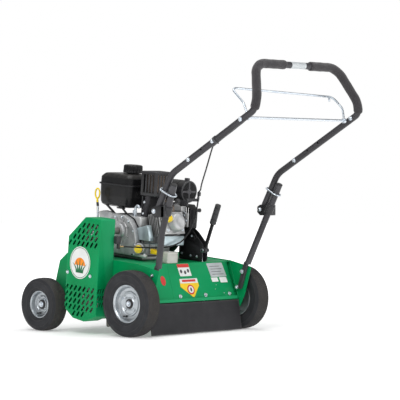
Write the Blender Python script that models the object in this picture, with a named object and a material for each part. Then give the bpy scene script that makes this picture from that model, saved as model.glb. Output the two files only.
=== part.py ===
"""Walk-behind lawn dethatcher: a petrol engine drives a flail rotor through a belt, on four wheels.

Metres, +Z up. +Y is the way the machine is pushed, +X its right-hand side, and the origin is on the
ground under the middle of the bounding box. The chassis leans nose-up about the rear axle, so most
pieces are children of the empty "chassis", whose frame is level with the deck: x, y ahead of the rear
axle, z above the chassis's own level ground line.
"""
from math import atan2, cos, pi, radians, sin

import bmesh
import bpy
from mathutils import Matrix, Vector

# Driving dimensions
REAR_WHEEL_R = 0.130
FRONT_WHEEL_R = 0.107
REAR_AXLE_Y = 0.0195
PIVOT_Z = 0.127
WHEELBASE = 0.502
TRACK_HALF = 0.314
AXLE_END_X = TRACK_HALF + 0.0165
TYRE_HALF = 0.036
TYRE_SIDES = 28
RIM_SIDES = 18
RIM_HALF = 0.026
REAR_RIM_R = 0.073
FRONT_RIM_R = 0.054
PITCH = radians(5)
GAP = 0.0003

SHEET = 0.003
DECK_HALF = 0.262
DECK_TOP_Z = 0.276
DECK_PROFILE = [(-0.036, 0.135), (0.026, DECK_TOP_Z), (0.430, DECK_TOP_Z), (0.471, 0.242), (0.487, 0.163)]
SIDE_OUTLINE = [(-0.047, 0.102), (-0.068, 0.154), (-0.092, 0.265), (0.024, 0.2795), (0.430, 0.2795),
                (0.472, 0.243), (0.489, 0.163), (0.489, 0.075), (0.400, 0.045), (0.080, 0.045)]

GUARD_OUT_X = -0.345
GUARD_IN_X = -0.2662
GUARD_WALL = 0.002
GUARD_OUTLINE = [(0.164, 0.441), (0.252, 0.4415), (0.3435, 0.358), (0.3445, 0.071), (0.294, 0.037),
                 (0.230, 0.030), (0.163, 0.058)]
SLOT_PITCH = 0.0246
SLOT_FIRST_Y = 0.1845
SLOT_RISE = 0.0143
SLOT_LEAN = 0.0104
SLOT_WIDTH = 0.0075

ROTOR_YZ = (0.234, 0.1095)
ROTOR_SHAFT_R = 0.0125
ROD_CIRCLE_R = 0.060
ROD_R = 0.005
FLAIL_LENGTH = 0.070
FLAIL_PITCH = 0.062
FLAIL_HALF_WIDTH = 0.009
FLAILS_PER_ROW = 7

CRANK_YZ = (0.245, 0.385)
CRANK_R = 0.0125
DRIVE_PULLEY_R = 0.042
DRIVEN_PULLEY_R = 0.050
PULLEY_X = -0.306
PULLEY_HALF = 0.009
PULLEY_SIDES = 20
BELT_T = 0.008
CYLINDER_TILT = radians(15)
COVER_OUTLINE = [(0.310, 0.292), (0.318, 0.345), (0.330, 0.385), (0.314, 0.425), (0.277, 0.447),
                 (0.235, 0.450), (0.195, 0.434), (0.163, 0.395), (0.150, 0.340), (0.150, 0.292)]

LIFT_PIVOT_YZ = (0.083, 0.109)
LIFT_TUBE_R = 0.011
LEVER_X = 0.115
LEVER_PIVOT_YZ = (0.032, 0.323)
LEVER_CRANK = 0.030
LEVER_CRANK_ANGLE = radians(23.5)
LIFT_CRANK = 0.050
LIFT_CRANK_ANGLE = radians(166)
LEVER_TIP_YZ = (-0.028, 0.514)

TUBE_R = 0.0127
GRIP_R = 0.0175
GRIP_BORE_R = 0.0143
FOLD_YZ = (-0.1110, 0.489)
BAIL_YZ = (-0.5545, 0.838)
RING_BEND_R = 0.0185
RING_ROD_R = 0.0032
CABLE_R = 0.0030

COLOURS = {
    "green": ((0.0, 0.30, 0.075, 1), 0.35, 0.0),
    "black_paint": ((0.012, 0.012, 0.013, 1), 0.4, 0.0),
    "charcoal": ((0.045, 0.045, 0.05, 1), 0.45, 0.0),
    "rubber": ((0.03, 0.03, 0.033, 1), 0.75, 0.0),
    "foam": ((0.035, 0.035, 0.038, 1), 0.9, 0.0),
    "zinc": ((0.66, 0.69, 0.72, 1), 0.32, 1.0),
    "aluminium": ((0.50, 0.51, 0.52, 1), 0.45, 1.0),
    "steel": ((0.22, 0.22, 0.23, 1), 0.5, 1.0),
    "plastic": ((0.015, 0.015, 0.016, 1), 0.3, 0.0),
    "yellow": ((0.85, 0.62, 0.01, 1), 0.4, 0.0),
    "white": ((0.62, 0.62, 0.58, 1), 0.5, 0.0),
}

machine = bpy.data.collections.new("lawn_dethatcher")
cutters = bpy.data.collections.new("cutters")
materials = {}


def clear_scene():
    for obj in list(bpy.data.objects):
        bpy.data.objects.remove(obj, do_unlink=True)
    for group in (machine, cutters):
        bpy.context.scene.collection.children.link(group)


def material(name):
    if name not in materials:
        colour, roughness, metallic = COLOURS[name]
        made = bpy.data.materials.new(name)
        made.use_nodes = True
        shader = made.node_tree.nodes["Principled BSDF"]
        shader.inputs["Base Color"].default_value = colour
        shader.inputs["Roughness"].default_value = roughness
        shader.inputs["Metallic"].default_value = metallic
        materials[name] = made
    return materials[name]


def add(name, mesh, colour, parent=None, group=None):
    obj = bpy.data.objects.new(name, mesh)
    (group or machine).objects.link(obj)
    if colour:
        mesh.materials.append(material(colour))
    obj.parent = parent
    return obj


# ---- bmesh shapes: each returns a closed mesh in the frame it is used in ----

def finish(bm, name):
    bmesh.ops.remove_doubles(bm, verts=bm.verts, dist=1e-6)
    bmesh.ops.recalc_face_normals(bm, faces=bm.faces)
    mesh = bpy.data.meshes.new(name)
    bm.to_mesh(mesh)
    bm.free()
    mesh.shade_smooth()
    mesh.set_sharp_from_angle(angle=radians(35))
    return mesh


def box(low, high):
    """A box between two corners."""
    bm = bmesh.new()
    bmesh.ops.create_cube(bm, size=1.0)
    low, high = Vector(low), Vector(high)
    for vert in bm.verts:
        vert.co = Vector([(low[i] + high[i]) / 2 + vert.co[i] * (high[i] - low[i]) for i in range(3)])
    return finish(bm, "box")


def bar(start, end, radius, radius_end=None, sides=16):
    """A round bar or a cone between two points."""
    start, end = Vector(start), Vector(end)
    along = end - start
    bm = bmesh.new()
    bmesh.ops.create_cone(bm, cap_ends=True, segments=sides, radius1=radius,
                          radius2=radius if radius_end is None else radius_end, depth=along.length)
    place = Matrix.Translation((start + end) / 2) @ along.to_track_quat("Z", "Y").to_matrix().to_4x4()
    bmesh.ops.transform(bm, matrix=place, verts=bm.verts)
    return finish(bm, "bar")


def prism(outline, x_low, x_high):
    """An outline of (y, z) points pushed out along X."""
    bm = bmesh.new()
    face = bm.faces.new([bm.verts.new((x_low, y, z)) for y, z in outline])
    made = bmesh.ops.extrude_face_region(bm, geom=[face])["geom"]
    verts = [item for item in made if isinstance(item, bmesh.types.BMVert)]
    bmesh.ops.translate(bm, verts=verts, vec=(x_high - x_low, 0, 0))
    return finish(bm, "prism")


def turned(profile, centre, sides=32):
    """A profile of (x, radius) points turned about the line along X through centre (y, z)."""
    bm = bmesh.new()
    rings = []
    for x, radius in profile:
        ring = []
        for step in range(sides):
            angle = 2 * pi * step / sides
            ring.append(bm.verts.new((x, centre[0] + radius * cos(angle), centre[1] + radius * sin(angle))))
        rings.append(ring)
    for first, second in zip(rings, rings[1:] + rings[:1]):
        for step in range(sides):
            after = (step + 1) % sides
            bm.faces.new((first[step], first[after], second[after], second[step]))
    return finish(bm, "turned")


def smooth_route(points, step):
    """Points along a Catmull-Rom curve through the given ones, about a step apart."""
    points = [Vector(point) for point in points]
    ends = [2 * points[0] - points[1]] + points + [2 * points[-1] - points[-2]]
    route = []
    for i in range(1, len(ends) - 2):
        before, start, end, after = ends[i - 1:i + 3]
        count = max(1, round((end - start).length / step))
        for k in range(count):
            t = k / count
            square = (2 * before - 5 * start + 4 * end - after) * t * t
            cube = (3 * start - before - 3 * end + after) * t ** 3
            route.append(0.5 * (2 * start + (end - before) * t + square + cube))
    return route + [points[-1]]


def rounded_route(points, radius, steps=5):
    """A run of straight lines whose corners are bent to a radius."""
    points = [Vector(point) for point in points]
    route = [points[0]]
    for before, corner, after in zip(points, points[1:], points[2:]):
        into, out = (corner - before).normalized(), (after - corner).normalized()
        turn = into.angle(out)
        if turn < 0.01:
            continue
        cut = min(radius * abs(sin(turn / 2) / cos(turn / 2)), 0.45 * (corner - before).length,
                  0.45 * (after - corner).length)
        for k in range(steps + 1):
            t = k / steps
            route.append((1 - t) ** 2 * (corner - into * cut) + 2 * t * (1 - t) * corner
                         + t * t * (corner + out * cut))
    return route + [points[-1]]


def tube(route, radius, resolution=3):
    """A round rod along a route, as a bevelled POLY curve turned into a closed mesh."""
    curve = bpy.data.curves.new("tube", "CURVE")
    curve.dimensions = "3D"
    curve.bevel_depth = radius
    curve.bevel_resolution = resolution
    curve.use_fill_caps = True
    spline = curve.splines.new("POLY")
    spline.points.add(len(route) - 1)
    for point, place in zip(spline.points, route):
        point.co = (*place, 1)
    helper = bpy.data.objects.new("tube", curve)
    bpy.context.scene.collection.objects.link(helper)
    graph = bpy.context.evaluated_depsgraph_get()
    mesh = bpy.data.meshes.new_from_object(helper.evaluated_get(graph))
    bpy.data.objects.remove(helper, do_unlink=True)
    bpy.data.curves.remove(curve)
    bm = bmesh.new()
    bm.from_mesh(mesh)
    bpy.data.meshes.remove(mesh)
    return finish(bm, "tube")


def combine(name, colour, parent, base, joined=(), cut=()):
    """One node: a base mesh with others joined to it and then others cut from it."""
    obj = add(name, base, colour, parent)
    for operation, meshes in (("UNION", joined), ("DIFFERENCE", cut)):
        for index, mesh in enumerate(meshes):
            helper = add(f"{name}_{operation.lower()}_{index}", mesh, None, parent, cutters)
            helper.hide_render = True
            helper.display_type = "WIRE"
            step = obj.modifiers.new(operation.lower(), "BOOLEAN")
            step.operation = operation
            step.object = helper
    return obj


def inset(outline, distance):
    """The outline moved inwards by a distance, corner by corner."""
    area = sum(a[0] * b[1] - b[0] * a[1] for a, b in zip(outline, outline[1:] + outline[:1]))
    side = 1 if area > 0 else -1
    moved_in = []
    for i, corner in enumerate(outline):
        corner = Vector(corner)
        into = (corner - Vector(outline[i - 1])).normalized()
        out = (Vector(outline[(i + 1) % len(outline)]) - corner).normalized()
        normal_in = Vector((-into.y, into.x)) * side
        normal_out = Vector((-out.y, out.x)) * side
        shift = (normal_in + normal_out) / (1 + normal_in.dot(normal_out))
        moved_in.append(tuple(corner + shift * distance))
    return moved_in


def polar(centre, radius, angle):
    return (centre[0] + radius * cos(angle), centre[1] + radius * sin(angle))


# ---- the chassis ----

def make_deck(chassis):
    inner = inset(DECK_PROFILE + [(0.487, 0.10), (-0.036, 0.10)], SHEET)[:len(DECK_PROFILE)]
    sheet = prism(DECK_PROFILE + inner[::-1], -DECK_HALF, DECK_HALF)
    link_slot = box((0.106, 0.030, 0.265), (0.127, 0.085, 0.285))
    strip = prism([(-0.0400, 0.1420), (-0.0320, 0.1400), (-0.0352, 0.1308), (-0.0420, 0.1316)], -0.250, 0.250)
    combine("deck_top", "green", chassis, sheet, joined=[strip], cut=[link_slot])
    for side, name in ((-1, "left"), (1, "right")):
        near, far = side * (DECK_HALF + GAP), side * (DECK_HALF + GAP + SHEET)
        plate = prism(SIDE_OUTLINE, min(near, far), max(near, far))
        bearing = bar((side * 0.2560, *ROTOR_YZ), (side * 0.2700, *ROTOR_YZ), 0.0260, sides=24)
        holes = [bar((side * 0.25, *ROTOR_YZ), (side * 0.28, *ROTOR_YZ), ROTOR_SHAFT_R + 0.0005),
                 bar((side * 0.25, *LIFT_PIVOT_YZ), (side * 0.28, *LIFT_PIVOT_YZ), 0.0125)]
        combine(f"deck_side_{name}", "green", chassis, plate, joined=[bearing], cut=holes)


def make_flap(chassis):
    """The rubber curtain that hangs behind the rotor from the deck's rear edge."""
    top, bottom = (-0.0405, 0.1275), (-0.0690, 0.0100)
    flap = prism([top, (top[0] + 0.004, top[1] - 0.001), (bottom[0] + 0.004, bottom[1] - 0.001), bottom],
                 -0.258, 0.258)
    add("rubber_flap", flap, "rubber", chassis)


def slot_rows():
    """Each guard slot's centre (y, z): upper rows grow by one, lower rows are full, the last is short."""
    for count, z in ((4, 0.409), (5, 0.385), (6, 0.360), (7, 0.335)):
        for column in range(count):
            yield SLOT_FIRST_Y + column * SLOT_PITCH, z
    for z in (0.157, 0.131, 0.106, 0.081):
        for column in range(7):
            yield SLOT_FIRST_Y + 0.004 + column * SLOT_PITCH, z
    for column in range(3):
        yield 0.239 + column * SLOT_PITCH, 0.057


def slot_cutters():
    bm = bmesh.new()
    for y, z in slot_rows():
        corners = []
        for along, across in ((-1, -1), (-1, 1), (1, 1), (1, -1)):
            lean = y - along * SLOT_LEAN * 0.55
            corners.append((lean + across * SLOT_WIDTH / 2, z + along * SLOT_RISE * 0.6))
        face = bm.faces.new([bm.verts.new((GUARD_OUT_X - 0.004, *corner)) for corner in corners])
        made = bmesh.ops.extrude_face_region(bm, geom=[face])["geom"]
        verts = [item for item in made if isinstance(item, bmesh.types.BMVert)]
        bmesh.ops.translate(bm, verts=verts, vec=(0.010, 0, 0))
    return finish(bm, "slots")


def make_belt_guard(chassis):
    shell = prism(GUARD_OUTLINE, GUARD_OUT_X, GUARD_IN_X)
    inside = inset(GUARD_OUTLINE, GUARD_WALL)
    hollow = prism(inside, GUARD_OUT_X + GUARD_WALL, GUARD_IN_X + 0.0195)
    anchor = box((-0.2700, 0.1440, 0.3450), (-0.2500, 0.1680, 0.3720))
    barrel = bar((-0.2600, 0.1500, 0.3330), (-0.2300, 0.1500, 0.3330), 0.0045, sides=14)
    stem = box((-0.2600, 0.1455, 0.3300), (-0.2510, 0.1545, 0.3500))
    combine("belt_guard", "green", chassis, shell, joined=[anchor, stem, barrel],
            cut=[hollow, slot_cutters()])


# ---- wheels and axles ----

def tyre_profile(radius, rim_radius):
    """Round tyre section between bead and tread, as (x, radius)."""
    middle, half_height = (radius + rim_radius) / 2, (radius - rim_radius) / 2
    section = []
    for step in range(10):
        angle = 2 * pi * (step + 0.5) / 10
        across = max(-1, min(1, 1.12 * cos(angle)))
        up = max(-1, min(1, 1.10 * sin(angle)))
        section.append((TYRE_HALF * across, middle + half_height * up))
    return section


def rim_profile(radius, out):
    """Dished steel rim with a hub bore, as (x, radius)."""
    edge = radius * cos(pi / TYRE_SIDES) - GAP
    outer = [(RIM_HALF, edge), (RIM_HALF, edge - 0.006), (0.012, edge - 0.010), (0.006, radius * 0.50),
             (0.014, radius * 0.36), (0.014, 0.0092)]
    inner = [(-0.020, 0.0092), (-0.020, radius * 0.30), (-0.004, radius * 0.50), (-0.004, edge - 0.012),
             (-RIM_HALF, edge - 0.006), (-RIM_HALF, edge)]
    return [(out * x, r) for x, r in outer + inner]


def make_wheel(name, radius, rim_radius, side, centre):
    x = side * TRACK_HALF
    axle = bpy.data.objects.new(f"{name}_axis", None)
    axle.location = (x, *centre)
    machine.objects.link(axle)
    tyre = turned(tyre_profile(radius, rim_radius), (0, 0), TYRE_SIDES)
    add(f"{name}_tyre", tyre, "rubber", axle)
    rim = turned(rim_profile(rim_radius, side), (0, 0), RIM_SIDES)
    add(f"{name}_rim", rim, "zinc", axle)


def make_wheels():
    for side, name in ((-1, "left"), (1, "right")):
        make_wheel(f"rear_{name}", REAR_WHEEL_R, REAR_RIM_R, side, (REAR_AXLE_Y, REAR_WHEEL_R))
        front = (REAR_AXLE_Y + WHEELBASE, FRONT_WHEEL_R)
        make_wheel(f"front_{name}", FRONT_WHEEL_R, FRONT_RIM_R, side, front)


def axle_nut(side, centre):
    """The hexagon nut on an axle's end."""
    near, far = side * (AXLE_END_X - 0.002), side * (AXLE_END_X + 0.007)
    return bar((near, *centre), (far, *centre), 0.0115, sides=6)


def make_rear_axle(chassis):
    """A cross tube that turns in the deck sides and carries the rear wheels on two trailing crank arms."""
    cross = bar((-0.2745, *LIFT_PIVOT_YZ), (0.2745, *LIFT_PIVOT_YZ), LIFT_TUBE_R)
    wheel_yz = axle_yz(0.0, REAR_WHEEL_R)
    joined = []
    for side in (-1, 1):
        x_in, x_out = side * 0.2672, side * 0.2752
        along = Vector(wheel_yz) - Vector(LIFT_PIVOT_YZ)
        outline = link_outline(LIFT_PIVOT_YZ, wheel_yz, 0.0145, atan2(along.y, along.x))
        arm = prism(outline, min(x_in, x_out), max(x_in, x_out))
        joined += [arm, bar((side * 0.2700, *wheel_yz), (side * AXLE_END_X, *wheel_yz), 0.0088),
                   axle_nut(side, wheel_yz)]
    pin_yz = polar(LIFT_PIVOT_YZ, LIFT_CRANK, LIFT_CRANK_ANGLE)
    crank = link_outline(LIFT_PIVOT_YZ, pin_yz, 0.010, LIFT_CRANK_ANGLE)
    joined += [prism(crank, 0.1125, 0.1175), bar((0.1140, *pin_yz), (0.1260, *pin_yz), 0.004, sides=12)]
    combine("rear_axle", "black_paint", chassis, cross, joined=joined)


def link_outline(start, end, half_width, angle, steps=3):
    """A flat link with round ends between two (y, z) points."""
    outline = []
    for centre, facing in ((start, angle + pi / 2), (end, angle - pi / 2)):
        for k in range(steps + 1):
            outline.append(polar(centre, half_width, facing + pi * k / steps))
    return outline


def axle_yz(ahead, radius):
    """The axle of a wheel that stands on the ground, in the chassis frame."""
    up = radius - PIVOT_Z
    return (ahead * cos(PITCH) + up * sin(PITCH), PIVOT_Z - ahead * sin(PITCH) + up * cos(PITCH))


def make_front_axle(chassis):
    centre = axle_yz(WHEELBASE, FRONT_WHEEL_R)
    axle = bar((-AXLE_END_X, *centre), (AXLE_END_X, *centre), 0.0088)
    plate = [(0.425, 0.066), (0.425, 0.120), (0.480, 0.120), (0.517, 0.070), (0.517, 0.044), (0.490, 0.044)]
    joined = []
    for side in (-1, 1):
        near, far = side * 0.2575, side * 0.2620
        joined += [prism(plate, min(near, far), max(near, far)), axle_nut(side, centre)]
    combine("front_axle", "black_paint", chassis, axle, joined=joined)


# ---- rotor and belt drive ----

def rod_angles():
    return [radians(45 + 90 * quarter) - PITCH for quarter in range(4)]


def make_rotor(chassis):
    """The shaft, its end discs and the four rods that the flails swing on."""
    shaft = bar((PULLEY_X - 0.020, *ROTOR_YZ), (0.272, *ROTOR_YZ), ROTOR_SHAFT_R)
    joined = [bar((x - 0.002, *ROTOR_YZ), (x + 0.002, *ROTOR_YZ), 0.073, sides=20) for x in (-0.240, 0.240)]
    for angle in rod_angles():
        rod_yz = polar(ROTOR_YZ, ROD_CIRCLE_R, angle)
        joined.append(bar((-0.246, *rod_yz), (0.246, *rod_yz), ROD_R, sides=8))
    combine("rotor", "steel", chassis, shaft, joined=joined)


def make_flail_row(chassis, index, angle):
    """The flails on one rod and the spacer tube that sets them apart, hanging straight down."""
    y, z = polar(ROTOR_YZ, ROD_CIRCLE_R, angle)
    down = Vector((-sin(PITCH), -cos(PITCH)))
    shift = FLAIL_PITCH / 4 if index % 2 else -FLAIL_PITCH / 4
    sleeve = bar((-0.2370, y, z), (0.2370, y, z), 0.0085, sides=8)
    tip = Vector((y, z)) + down * (FLAIL_LENGTH - FLAIL_HALF_WIDTH)
    outline = link_outline((y, z), tuple(tip), FLAIL_HALF_WIDTH, atan2(down.y, down.x), 2)
    joined = []
    for k in range(FLAILS_PER_ROW):
        x = (k - (FLAILS_PER_ROW - 1) / 2) * FLAIL_PITCH + shift
        joined.append(prism(outline, x - 0.003, x + 0.003))
    bore = bar((-0.3, y, z), (0.3, y, z), ROD_R + 0.0010, sides=8)
    combine(f"flail_row_{index + 1}", "steel", chassis, sleeve, joined=joined, cut=[bore])


def pulley_profile(radius, bore):
    """Vee pulley as (x, radius)."""
    groove, low, high = radius - 0.007, PULLEY_X - PULLEY_HALF, PULLEY_X + PULLEY_HALF
    return [(low, bore), (high, bore), (high, radius), (high - 0.002, radius), (PULLEY_X + 0.003, groove),
            (PULLEY_X - 0.003, groove), (low + 0.002, radius), (low, radius)]


def make_belt_drive(chassis):
    for name, radius, shaft_r, centre in (("drive_pulley", DRIVE_PULLEY_R, CRANK_R, CRANK_YZ),
                                          ("driven_pulley", DRIVEN_PULLEY_R, ROTOR_SHAFT_R, ROTOR_YZ)):
        profile = pulley_profile(radius, shaft_r + GAP)
        add(name, turned(profile, centre, PULLEY_SIDES), "steel", chassis)
    outer, inner = [], []
    apart = Vector(CRANK_YZ) - Vector(ROTOR_YZ)
    line = atan2(apart.y, apart.x)
    lean = (DRIVEN_PULLEY_R - DRIVE_PULLEY_R) / apart.length
    for centre, radius, middle in ((CRANK_YZ, DRIVE_PULLEY_R, line), (ROTOR_YZ, DRIVEN_PULLEY_R, line + pi)):
        sweep = pi / 2 - lean if centre == CRANK_YZ else pi / 2 + lean
        for k in range(13):
            angle = middle - sweep + 2 * sweep * k / 12
            outer.append(polar(centre, radius + 0.0025, angle))
            inner.append(polar(centre, radius + 0.0025 - BELT_T + 0.0025, angle))
    belt = prism(outer, PULLEY_X - 0.0022, PULLEY_X + 0.0022)
    combine("drive_belt", "rubber", chassis, belt, cut=[prism(inner, PULLEY_X - 0.02, PULLEY_X + 0.02)])
    pivot, wheel = (0.322, 0.338), (0.3150, 0.255)
    arm_angle = atan2(wheel[1] - pivot[1], wheel[0] - pivot[0])
    arm = prism(link_outline(pivot, wheel, 0.0095, arm_angle), -0.2900, -0.2860)
    stud = bar((-0.2880, *wheel), (-0.3150, *wheel), 0.0045, sides=14)
    boss = bar((-0.2880, *pivot), (-0.2668, *pivot), 0.0070, sides=14)
    combine("idler_arm", "black_paint", chassis, arm, joined=[stud, boss])
    idler = turned([(-0.2980, 0.0048), (-0.2980, 0.0170), (-0.3120, 0.0170), (-0.3120, 0.0048)], wheel, 24)
    add("idler_pulley", idler, "steel", chassis)


# ---- engine ----

def make_crankcase(chassis):
    body = box((-0.1300, 0.1600, 0.2850), (0.0500, 0.3300, 0.4480))
    neck = cylinder_block(0.0700, 0.1027, 0.038, -0.090, 0.015)
    flange = box((-0.1380, 0.1320, DECK_TOP_Z + GAP), (0.0540, 0.3500, 0.2900))
    bore = bar((-0.2, *CRANK_YZ), (0.2, *CRANK_YZ), CRANK_R + 0.0012)
    posts = [box((x, 0.3000, 0.4400), (x + 0.012, 0.3250, 0.4717)) for x in (-0.1000, 0.0300)]
    sleeve = smooth_route([(-0.1225, 0.3200, 0.3300), (-0.1380, 0.3600, 0.3400), (-0.1460, 0.3860, 0.3700),
                           (-0.1460, 0.3895, 0.4066)], 0.012)
    combine("crankcase", "aluminium", chassis, body, joined=[flange, neck, tube(sleeve, 0.0065, 2)] + posts,
            cut=[bore])
    cover = prism(COVER_OUTLINE, -0.1605, -0.1305)
    boss = bar((-0.1600, *CRANK_YZ), (-0.1720, *CRANK_YZ), 0.0300, 0.0260, sides=24)
    crank_hole = bar((-0.1250, *CRANK_YZ), (-0.1800, *CRANK_YZ), 0.0137, sides=24)
    foot = box((-0.1600, 0.1000, 0.2920), (-0.1390, 0.1750, 0.3040))
    plug_boss = bar((-0.1340, 0.1500, 0.3230), (-0.1600, 0.1330, 0.3230), 0.0240)
    shoulder = box((-0.1500, 0.1400, 0.3000), (-0.1310, 0.2000, 0.3450))
    combine("crankcase_cover", "aluminium", chassis, cover, joined=[boss, shoulder, plug_boss, foot],
            cut=[crank_hole])
    flywheel = bar((0.0600, *CRANK_YZ), (0.0900, *CRANK_YZ), 0.0880, sides=30)
    combine("crankshaft", "steel", chassis, bar((PULLEY_X - 0.020, *CRANK_YZ), (0.0940, *CRANK_YZ), CRANK_R),
            joined=[flywheel])


def along_cylinder(distance, across, x):
    """A point at a distance from the crank along the sloping cylinder, and across it."""
    y = CRANK_YZ[0] - distance * cos(CYLINDER_TILT) + across * sin(CYLINDER_TILT)
    z = CRANK_YZ[1] + distance * sin(CYLINDER_TILT) + across * cos(CYLINDER_TILT)
    return (x, y, z)


def cylinder_block(near, far, half_height, x_low, x_high):
    corners = [along_cylinder(near, -half_height, 0), along_cylinder(near, half_height, 0),
               along_cylinder(far, half_height, 0), along_cylinder(far, -half_height, 0)]
    return prism([corner[1:] for corner in corners], x_low, x_high)


def make_cylinder(chassis):
    core = cylinder_block(0.1030, 0.1600, 0.034, -0.085, 0.010)
    fins = [cylinder_block(0.108 + 0.012 * k, 0.1115 + 0.012 * k, 0.046, -0.098, 0.022) for k in range(4)]
    combine("cylinder", "aluminium", chassis, core, joined=fins)
    filler = bar((-0.0870, 0.0700, 0.4400), (-0.0965, 0.0395, 0.4495), 0.0070, sides=14)
    valve_cover = bar(along_cylinder(0.180, 0, -0.036), along_cylinder(0.220, 0, -0.036), 0.041, 0.034,
                      sides=24)
    plug = bar(along_cylinder(0.174, 0.040, -0.060), along_cylinder(0.174, 0.060, -0.060), 0.0065, sides=12)
    combine("cylinder_head", "aluminium", chassis, cylinder_block(0.1603, 0.1880, 0.044, -0.096, 0.020),
            joined=[filler, plug, valve_cover])
    elbow = smooth_route([along_cylinder(0.174, 0.0612, -0.060), along_cylinder(0.174, 0.066, -0.060),
                          along_cylinder(0.172, 0.076, -0.064), along_cylinder(0.160, 0.082, -0.078)], 0.008)
    add("spark_plug_boot", tube(elbow, 0.0105), "rubber", chassis)


def blower_outline():
    """The fan's circle with a shroud that reaches back over the cylinder."""
    arc = [polar(CRANK_YZ, 0.103, radians(-160 + 12.5 * k)) for k in range(19)]
    return arc + [(0.220, 0.5030), (0.085, 0.5030), (0.066, 0.4850), (0.066, 0.4100)]


def make_starter(chassis):
    outer = blower_outline()
    shell = prism(outer, 0.0555, 0.0980)
    hollow = prism(inset(outer, 0.0025), 0.0400, 0.0955)
    air_hole = bar((0.09, *CRANK_YZ), (0.11, *CRANK_YZ), 0.055, sides=28)
    combine("blower_housing", "plastic", chassis, shell, cut=[hollow, air_hole])
    dome = turned([(0.0983, 0.0700), (0.0983, 0.0760), (0.1480, 0.0740), (0.1620, 0.0600), (0.1620, 0.0120),
                   (0.1595, 0.0120), (0.1595, 0.0580), (0.1465, 0.0710)], CRANK_YZ, 22)
    nose = bar((0.1440, 0.1840, 0.4100), (0.1440, 0.1640, 0.4300), 0.0090, sides=14)
    bore = bar((0.1440, 0.2000, 0.3940), (0.1440, 0.1500, 0.4440), 0.0040, sides=10)
    combine("recoil_starter", "plastic", chassis, dome, joined=[nose], cut=[bore])
    rope = bar((0.1440, 0.1780, 0.4160), (0.1440, 0.1255, 0.4685), 0.0020, sides=8)
    add("starter_rope", rope, "rubber", chassis)
    grip = bar((0.1310, 0.1185, 0.4755), (0.1650, 0.1185, 0.4755), 0.0085, sides=16)
    add("starter_grip", grip, "plastic", chassis)


def make_fuel_tank(chassis):
    body = box((-0.1200, 0.2450, 0.4720), (0.0520, 0.4280, 0.6070))
    seam = box((-0.1260, 0.2390, 0.5600), (0.0580, 0.4340, 0.5660))
    neck = bar((-0.0220, 0.3300, 0.6020), (-0.0220, 0.3300, 0.6100), 0.026)
    well = bar((-0.0220, 0.3300, 0.5850), (-0.0220, 0.3300, 0.6200), 0.022)
    combine("fuel_tank", "plastic", chassis, body, joined=[seam, neck], cut=[well])
    cap = bar((-0.0220, 0.3300, 0.6103), (-0.0220, 0.3300, 0.6430), 0.040, 0.038, sides=32)
    add("fuel_cap", cap, "plastic", chassis)


def make_exhaust(chassis):
    cage = box((-0.1000, 0.1200, 0.5300), (0.0050, 0.2050, 0.6300))
    hollow = box((-0.0970, 0.1230, 0.5200), (0.0020, 0.2020, 0.6270))
    slots = [box((-0.1100, 0.1280 + 0.0165 * k, 0.5450), (-0.0900, 0.1370 + 0.0165 * k, 0.6180))
             for k in range(4)]
    combine("muffler_guard", "black_paint", chassis, cage, cut=[hollow] + slots)
    pipe = smooth_route([along_cylinder(0.172, 0.0450, -0.025), along_cylinder(0.172, 0.054, -0.025),
                         along_cylinder(0.171, 0.067, -0.025), (-0.0250, 0.1420, 0.5180),
                         (-0.0250, 0.1560, 0.5600)], 0.010)
    combine("muffler", "steel", chassis, box((-0.0850, 0.1320, 0.5450), (-0.0080, 0.1950, 0.6150)),
            joined=[tube(pipe, 0.010)])


def make_intake(chassis):
    can = bar((0.0750, 0.1000, 0.5530), (0.0750, 0.2150, 0.5530), 0.0450, sides=32)
    nub = box((0.0690, 0.1050, 0.5900), (0.0810, 0.1250, 0.6080))
    mouth = bar((0.0750, 0.0900, 0.5530), (0.0750, 0.1120, 0.5530), 0.038, sides=24)
    combine("air_cleaner", "plastic", chassis, can, joined=[nub], cut=[mouth])
    body = box((0.0260, 0.0900, 0.4450), (0.0545, 0.1450, 0.4980))
    throat = bar((0.0420, 0.1300, 0.4900), (0.0420, 0.1300, 0.5100), 0.011, sides=16)
    plate = box((0.0400, 0.0640, 0.4150), (0.0450, 0.0950, 0.4700))
    combine("carburettor", "aluminium", chassis, body, joined=[throat, plate])


def make_small_engine_parts(chassis):
    for name, start, end, radius in (
            ("oil_drain_plug", (-0.1603, 0.1328, 0.3230), (-0.1690, 0.1271, 0.3230), 0.0165),
            ("oil_fill_plug", (-0.1128, 0.0255, 0.4577), (-0.0992, 0.0322, 0.4535), 0.0160)):
        add(name, bar(start, end, radius, sides=8), "yellow", chassis)
    stick = bar((-0.1460, 0.3900, 0.4085), (-0.1450, 0.4000, 0.4900), 0.0040, sides=12)
    loop = bar((-0.1480, 0.4010, 0.5200), (-0.1430, 0.4010, 0.5200), 0.0240, sides=20)
    eye = bar((-0.16, 0.4010, 0.5200), (-0.13, 0.4010, 0.5200), 0.0150, sides=16)
    neck = bar((-0.1452, 0.3990, 0.4850), (-0.1455, 0.4010, 0.5020), 0.0055, sides=12)
    combine("dipstick", "yellow", chassis, stick, joined=[neck, loop], cut=[eye])
    shield = [(0.0600, 0.3430), (0.1500, 0.3430), (0.1500, 0.3455), (0.0625, 0.3455), (0.0625, 0.3800),
              (0.0600, 0.3800)]
    add("heat_shield", prism(shield, -0.1180, 0.0200), "zinc", chassis)
    add("filter_box", box((-0.1000, 0.0280, DECK_TOP_Z + GAP), (-0.0400, 0.0700, 0.3200)), "white", chassis)


# ---- height adjustment ----

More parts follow.
